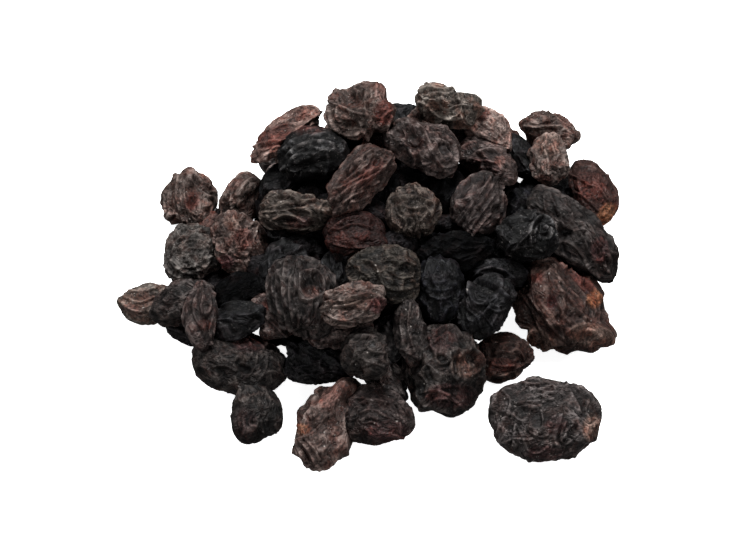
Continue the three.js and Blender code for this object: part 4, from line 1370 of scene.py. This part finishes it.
def grown(name, raisins, seeds, subdivisions, skin):
    """One piece that joins the grown raisins, each standing on the floor or above it."""
    carrier = placed(name + " points", points_of(raisins, seeds))
    grow = carrier.modifiers.new("skin", "NODES")
    grow.node_group = SKIN_TREE
    grow[SKIN_INPUTS["Subdivisions"]] = subdivisions
    grow[SKIN_INPUTS["Material"]] = skin
    bpy.context.view_layer.update()
    seen = carrier.evaluated_get(bpy.context.evaluated_depsgraph_get())
    mesh = bpy.data.meshes.new_from_object(seen)
    bpy.data.objects.remove(carrier)
    count = len(mesh.vertices) // len(raisins)
    crests = np.empty(len(mesh.vertices))
    mesh.attributes["crest"].data.foreach_get("value", crests)
    marks = {mark: np.zeros((len(raisins), count)) for mark in ("fold", "sugar")}
    for mark, shares in (("calm", CALMNESS), ("even", EVENNESS)):
        share = np.array([shares.get(raisin.colour, 0.0) for raisin in raisins])
        marks[mark] = np.repeat(share[:, None], count, axis=1)
    marks["crest"] = crests.reshape(len(raisins), count)
    for i, mark in enumerate(("tone", "dusting")):
        colours = np.array([COLOURS[raisin.colour][i] for raisin in raisins])
        marks[mark] = np.repeat(colours[:, None, :], count, axis=1)
    spots = np.empty(len(mesh.vertices) * 3)
    mesh.vertices.foreach_get("co", spots)
    spots = spots.reshape(len(raisins), count, 3)
    for i, raisin in enumerate(raisins):
        if raisin.drawn:
            own_marks = {mark: values[i] for mark, values in marks.items()}
            shaped(raisin, spots[i], own_marks)
            for mark, values in own_marks.items():
                marks[mark][i] = values
        if raisin.grounded:
            spots[i, :, 2] += -SINK * MM - spots[i, :, 2].min()
    spots[:, :, 2] = np.maximum(spots[:, :, 2], 0.0)
    mesh.vertices.foreach_set("co", spots.ravel())
    for used in [layer.name for layer in mesh.attributes]:
        if used.split("_")[0] in GROWING:
            mesh.attributes.remove(mesh.attributes[used])
    for mark, values in marks.items():
        if values.ndim == 3:
            values = np.concatenate((values, np.ones(values.shape[:2] + (1,))), axis=2)
        carry(mesh, mark, values)
    mesh.update()
    if not mesh.materials:
        mesh.materials.append(skin)
    return placed(name, mesh)


def painted_shade_mound(skin):
    """Lumpy mound painted dark as shade in the depth of the heap, closed by its flat underside."""
    rows, columns = HEART_STEPS
    corners = [(CORE_MIDDLE[0] * MM, CORE_MIDDLE[1] * MM, HEART_HEIGHT * MM)]
    for row in range(1, rows + 1):
        ring = row / rows
        for column in range(columns):
            angle = 2 * math.pi * column / columns
            x = HEART_HALF_X * ring * math.cos(angle)
            y = HEART_HALF_Y * ring * math.sin(angle)
            lump = HEART_LUMP * math.sin(x * HEART_RATE[0]) * math.cos(y * HEART_RATE[1])
            height = (HEART_HEIGHT + lump) * (1 - ring ** CORE_FALL)
            corners.append(((x + CORE_MIDDLE[0]) * MM, (y + CORE_MIDDLE[1]) * MM, height * MM))
    faces = [(0, 1 + column, 1 + (column + 1) % columns) for column in range(columns)]
    for row in range(rows - 1):
        inner, outer = 1 + row * columns, 1 + (row + 1) * columns
        for column in range(columns):
            beside = (column + 1) % columns
            faces.append((inner + column, outer + column, outer + beside, inner + beside))
    last = 1 + (rows - 1) * columns
    faces.append(tuple(reversed(range(last, last + columns))))
    mesh = bpy.data.meshes.new("heart of the heap")
    mesh.from_pydata(corners, [], faces)
    mesh.shade_smooth()
    mesh.materials.append(skin)
    for mark, colour in zip(("tone", "dusting"), COLOURS["gloom"]):
        carry(mesh, mark, np.tile((*colour, 1.0), len(corners)))
    return placed("heart_of_the_heap", mesh)


# Camera at the photograph's viewing angle.
camera_data = bpy.data.cameras.new("camera")
camera_data.sensor_width = SENSOR_WIDTH
camera_data.lens = FOCAL_POINTS / VIEW_WIDTH * SENSOR_WIDTH
camera_data.clip_start, camera_data.clip_end = CLIP_ENDS
camera = placed("camera", camera_data)
turned = Matrix((VIEW_RIGHT, VIEW_UP, -VIEW_FORWARD)).transposed().to_4x4()
camera.matrix_world = Matrix.Translation(EYE * MM) @ turned
bpy.context.scene.camera = camera
bpy.context.scene.view_settings.view_transform = "Standard"

# Soft studio light: a bright room, a large panel overhead and weaker ones on three sides, each with
# its place in metres, its side and its power.
ROOM_LIGHT = 0.19
PANELS = (
    ("panel overhead", (0.0, 0.27, 0.46), 0.20, 7.0),
    ("panel left", (-0.40, 0.02, 0.34), 0.16, 1.8),
    ("panel right", (0.38, -0.06, 0.36), 0.14, 1.4),
    ("panel front", (0.04, -0.46, 0.16), 0.22, 1.2),
)
world = bpy.data.worlds.new("room")
world.use_nodes = True
background = world.node_tree.nodes["Background"]
background.inputs["Color"].default_value = (1.0, 1.0, 1.0, 1.0)
background.inputs["Strength"].default_value = ROOM_LIGHT
bpy.context.scene.world = world
for label, place, side, power in PANELS:
    data = bpy.data.lights.new(label, "AREA")
    data.shape = "SQUARE"
    data.size = side
    data.energy = power
    lamp = placed(label, data)
    lamp.location = place
    lamp.rotation_euler = Vector(place).to_track_quat("Z", "Y").to_euler()

# Pale floor that glows a little, as on a light table: half its side in metres, and its look.
FLOOR_HALF = 1.5
FLOOR_LOOK = {
    "Base Color": (0.9, 0.9, 0.9, 1.0),
    "Roughness": 0.9,
    "Emission Color": (1.0, 1.0, 1.0, 1.0),
    "Emission Strength": 0.92,
}
floor_mesh = bpy.data.meshes.new("floor")
corners = [(x * FLOOR_HALF, y * FLOOR_HALF, 0) for x, y in ((-1, -1), (1, -1), (1, 1), (-1, 1))]
floor_mesh.from_pydata(corners, [], [(0, 1, 2, 3)])
floor = placed("floor", floor_mesh)
pale = bpy.data.materials.new("pale floor")
pale.use_nodes = True
for socket, value in FLOOR_LOOK.items():
    pale.node_tree.nodes["Principled BSDF"].inputs[socket].default_value = value
floor_mesh.materials.append(pale)
floor.visible_diffuse = False
floor.visible_glossy = False

SKIN = skin_material("raisin skin", SHINE)
# Dulled copy of the skin: painted shade for the raisins in the gaps, the fill raisins and the dark mound.
SHADED_SKIN = skin_material("raisin skin painted in shade", SHADED_SHINE)
SKIN_TREE, SKIN_INPUTS = skin_tree()

seen = [seen_raisin(row) for row in SEEN]
far = [far_raisin(row) for row in FAR]
apart = seen_raisin(APART)
settle(seen + far + [apart])
fill = fill_raisins()

numbers = {raisin.name: i + 1 for i, raisin in enumerate(seen + far + [apart])}
across = sorted(seen, key=lambda raisin: raisin.drawn)
# The raisins painted near black as shade, in the gaps, get the dulled copy of the skin.
gaps = [raisin for raisin in across if raisin.colour == "deep"]
lit = [raisin for raisin in across if raisin not in gaps]
large = [raisin for raisin in lit if raisin.half[0] >= LARGE_HALF or raisin.name in LARGE_TOO]
small = [raisin for raisin in lit if raisin not in large]
quarter = math.ceil(len(large) / 4)
half_way = math.ceil(len(small) / 2)

for label, node, members, level, skin in (
    ("raisins_left", "heap", large[:quarter], 6, SKIN),
    ("raisins_middle_left", "heap", large[quarter : 2 * quarter], 6, SKIN),
    ("raisins_middle_right", "heap", large[2 * quarter : 3 * quarter], 6, SKIN),
    ("raisins_right", "heap", large[3 * quarter :], 6, SKIN),
    ("small_raisins_left", "heap", small[:half_way], 5, SKIN),
    ("small_raisins_right", "heap", small[half_way:], 5, SKIN),
    ("raisins_in_gaps", "heap", gaps, 5, SHADED_SKIN),
    ("raisins_far_side", "heap", far, 5, SKIN),
    ("raisins_deep", "heap", fill, 4, SHADED_SKIN),
    ("raisin_lying_apart", "raisin_apart", [apart], 7, SKIN),
):
    seeds = [numbers.get(raisin.name, FILL_SKIN_SEED + i) for i, raisin in enumerate(members)]
    piece = grown(label, members, seeds, level, skin)
    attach(piece, "root")
    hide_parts(node)

piece = painted_shade_mound(SHADED_SKIN)
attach(piece, "root")
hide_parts("heap")
